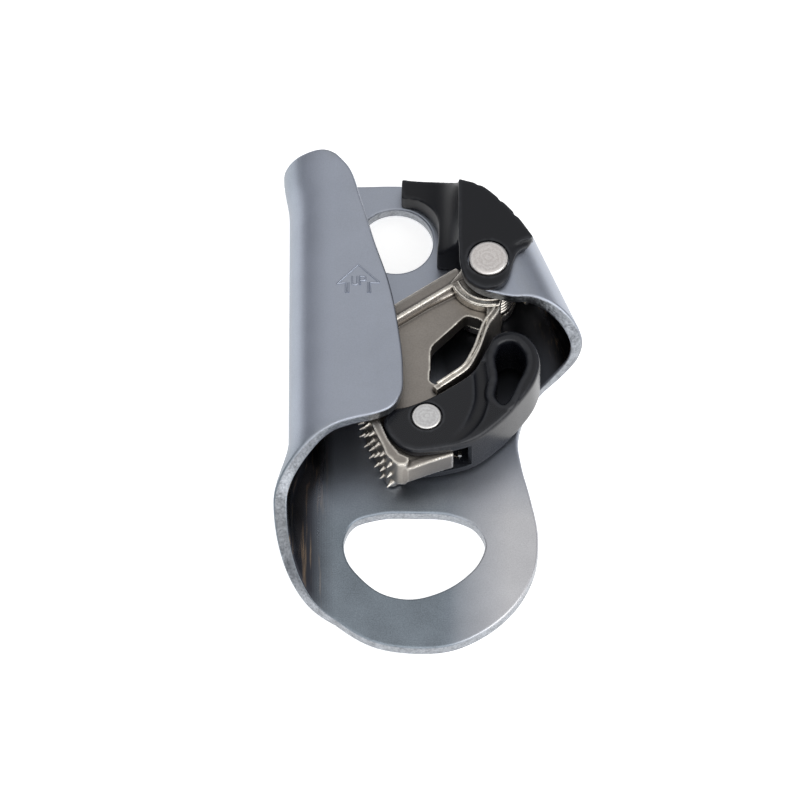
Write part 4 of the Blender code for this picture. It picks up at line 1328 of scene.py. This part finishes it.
RIM_SIDE = 0.85
body = plate([smooth(CATCH), smooth(LOOP_HOLE, 0.4)], CATCH_LOW, CATCH_HIGH, 0.9, 4)
rim = tube(
    at_height(
        offset_line(smooth(LOOP_HOLE, 0.4) + smooth(LOOP_HOLE, 0.4)[:1], RIM_SIDE), CATCH_HIGH - 0.75
    ),
    0.95, True
)
valley = smooth(
    [
        (9.5, 5.0), (9.9, 1.0), (9.9, -3.8), (8.3, -8.4), (5.6, -11.6), (2.0, -13.9), (30.0, -10.0, 1),
        (30.0, 5.0, 1)
    ],
    0.5
)
valley = valley[: nearest(valley, (2.0, -13.9))]
rising = [
    (*p, CATCH_HIGH + 0.75 + 1.0 * max(0.0, k / len(valley) - 0.55) / 0.45) for k, p in enumerate(valley)
]
groove = tube(rising, 1.6)
lever = moulded(boolean(body, [groove]), 0.2, 4)
lever = moulded(together([lever, rim]), 0.2, 4)
seat = CATCH_HIGH + 0.2 - 1.1 - 0.15
cutters = [
    plate([POCKET], CHEEK_LOW_TOP, CHEEK_HIGH_BASE), post(PIN, 1.9, BELOW, ABOVE),
    post(PIN, 3.0, seat, 30.0), post(PIN, 2.6, BELOW, 4.4)
]
lever = boolean(lever, cutters)
lever = mark_curvature(smooth_shaded(lever, 40), 4, 1.0)
catch_lever = in_scene("catch_lever", lever, CATCH_NYLON, "catch", "catch")

# %% [markdown]
# ## Grip cover
# A moulded cover wraps the ear and the corner beside the upper eye, so that a hand can push on it. Its
# front is flat, three notches give grip, and a scooped hollow leaves room for a carabiner in the eye.

# %% Outlines of the cover
COVER_LOW = [
    (-4.7, 44.6, 1), (-2.0, 44.2), (0.6, 42.0), (2.0, 39.0), (2.2, 35.6), (1.8, 31.4, 1), (6.0, 30.9),
    (14.0, 32.6, 1),
    (20.2, 34.9, 1), (17.9, 39.4), (14.8, 43.6), (10.4, 47.4), (5.6, 49.2), (-4.6, 49.5, 1),
]
COVER_HIGH = [
    (-4.7, 44.6, 1), (-2.0, 44.2), (0.6, 42.0), (2.0, 39.0), (2.2, 35.6), (1.8, 31.4, 1), (6.0, 30.9),
    (14.4, 26.4, 1),
    (19.6, 28.6, 1), (16.5, 33.3), (13.4, 36.8), (9.8, 39.9), (6.0, 41.2), (-4.6, 46.5, 1),
]
SHELL = [
    ear(6.2, 22.6), ear(7.4, 19.6), ear(10.6, 17.8), ear(14.2, 18.9), ear(15.0, 20.4), side(160, 17.6),
    side(146, 18.4),
    side(138, 20.0), side(147, 23.4), ear(8.0, 34.5), ear(5.9, 33.0), ear(5.9, 27.0),
]
NOTCHES = [((10.6, 47.6), (9.6, 40.4)), ((15.4, 43.2), (13.9, 36.9)), ((18.3, 39.2), (16.7, 33.7))]
COVER_TOP = FRONT_Z + 0.3 + 1.3 + 0.05
STEP_X, SLAB_TOP, SCOOP_R = 5.8, 6.4, 9.0
print("cover is", round(COVER_TOP, 2), "mm high")

# %% [markdown]
# ## Moulding the cover
# The block is lofted from a low outline to a higher one, and a shell bent like the sheet runs under the
# axle head. Notches and the scoop are cut, the edges are softened, and the room for the metal and the
# axle is cut last, with the same clearance as in the solid model.

# %% Mould the cover
base = SHEET / 2
lower, upper = smooth(COVER_LOW, parts=10), smooth(COVER_HIGH, parts=10)
levels = []
for z in [base + (COVER_TOP - base) * k / 12 for k in range(13)]:
    share = (z - base) / (COVER_TOP - base)
    levels.append([(*a.lerp(b, share), z) for a, b in zip(lower, upper)])
block = loft(levels)
shell = bend_sheet(plate([smooth(SHELL)], -SHEET / 2 - 1.6, -SHEET / 2, 0.3), 40.0)
arc = [polar((STEP_X - SCOOP_R, SLAB_TOP + SCOOP_R), SCOOP_R, degrees) for degrees in range(-90, 1, 5)]
scoop = plate(
    [[Vector(p) for p in [(-20.0, SLAB_TOP), *arc, (STEP_X, 30.0), (-20.0, 30.0)]]], -60.0, -10.0
)
scoop.transform(Matrix.Rotation(math.radians(90), 4, "X"))
grip = moulded(together([block, shell]), 0.25, 1)
cutters = [rod((*bottom, BELOW), (*top, COVER_TOP + 1.0), 0.85) for bottom, top in NOTCHES]
grip = boolean(grip, [*cutters, welded(scoop)])
grip = moulded(grip, 0.25, 5)
room = bend_sheet(plate([smooth(BLANK)], -SHEET / 2 - 0.3, SHEET / 2 + 0.3), 6.0)
grip = boolean(
    grip, [room, post(AXLE, 8.0, BELOW, SHEET + INNER_GAP + 0.1), post(AXLE, 3.9, FRONT_Z - SHEET, 30.0)]
)
grip = mark_curvature(smooth_shaded(grip, 40), 4, 1.0)
grip_moulding = in_scene("grip_moulding", grip, GRIP_NYLON, "frame", "grip_cover")

# %% [markdown]
# ## Light
# Bright metal shows what is around it. Three soft panels give the pale bands on the bends, and a grey
# room that is white only overhead keeps the bends readable.

# %% Room and soft panels
world = bpy.data.worlds.new("room")
bpy.context.scene.world = world
world.use_nodes = True
tree = world.node_tree
tree.nodes.clear()
up = put(
    tree, "ShaderNodeSeparateXYZ", [(0, put(tree, "ShaderNodeTexCoord").outputs["Generated"])]
).outputs[2]
sky = blended(tree, ramp(tree, up, 0.2, 0.85), (0.27, 0.28, 0.31, 1), (1.0, 1.0, 1.0, 1))
air = put(tree, "ShaderNodeBackground", [("Color", sky), ("Strength", 0.85)])
tree.links.new(air.outputs[0], put(tree, "ShaderNodeOutputWorld").inputs["Surface"])


def panel(name, spot, width, height, power, aim=(0.0, 0.0, 0.008)):
    lamp = bpy.data.lights.new(name, "AREA")
    lamp.shape = "RECTANGLE"
    lamp.size, lamp.size_y, lamp.energy = width, height, power
    obj = bpy.data.objects.new(name, lamp)
    obj.location = spot
    obj.rotation_euler = (Vector(aim) - Vector(spot)).to_track_quat("-Z", "Y").to_euler()
    bpy.context.scene.collection.objects.link(obj)


panel("left_panel", (-0.5, -0.05, 0.22), 0.1, 0.6, 0.15)
panel("right_panel", (0.42, -0.28, 0.32), 0.5, 0.45, 1.5)
panel("front_panel", (-0.1, -0.5, 0.3), 0.8, 0.4, 1.3)
print("panels:", [lamp.name for lamp in bpy.data.lights])

# %% [markdown]
# ## Floor
# The clamp lies on a plain pale floor that keeps its shadow. A little emission, for the camera and for
# reflections only, lifts the floor to white and adds no light to the clamp.

# %% Lay the floor
FLOOR_DROP = 0.0002
FLOOR_GLOW = 0.62
floor_mesh = bpy.data.meshes.new("floor")
made = bmesh.new()
bmesh.ops.create_grid(made, x_segments=1, y_segments=1, size=3.0)
made.to_mesh(floor_mesh)
made.free()
floor = bpy.data.objects.new("floor", floor_mesh)
floor.location = (0.0, 0.0, -FLOOR_DROP)
bpy.context.scene.collection.objects.link(floor)
FLOOR = bpy.data.materials.new("floor")
FLOOR.use_nodes = True
tree = FLOOR.node_tree
diffuse = tree.nodes["Principled BSDF"]
diffuse.inputs["Base Color"].default_value = (0.92, 0.92, 0.92, 1)
diffuse.inputs["Roughness"].default_value = 1.0
diffuse.inputs["Specular IOR Level"].default_value = 0.0
rays = put(tree, "ShaderNodeLightPath")
seen = sum_of(
    tree, "MINIMUM", 1.0,
    sum_of(tree, "ADD", rays.outputs["Is Camera Ray"], rays.outputs["Is Glossy Ray"])
)
diffuse.inputs["Emission Color"].default_value = (1.0, 1.0, 1.0, 1)
tree.links.new(sum_of(tree, "MULTIPLY", seen, FLOOR_GLOW), diffuse.inputs["Emission Strength"])
floor_mesh.materials.append(FLOOR)
bpy.context.scene.view_settings.view_transform = "Standard"
print("floor lies", FLOOR_DROP * 1000, "mm under the clamp")

# %% [markdown]
# ## The bush
# The spacer tube is nearly hidden, so its solid node is shown as it is. It only gets its steel finish.

# %% Give the bush its finish
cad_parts["cam_bush"].material_slots[0].material = BUSH_STEEL
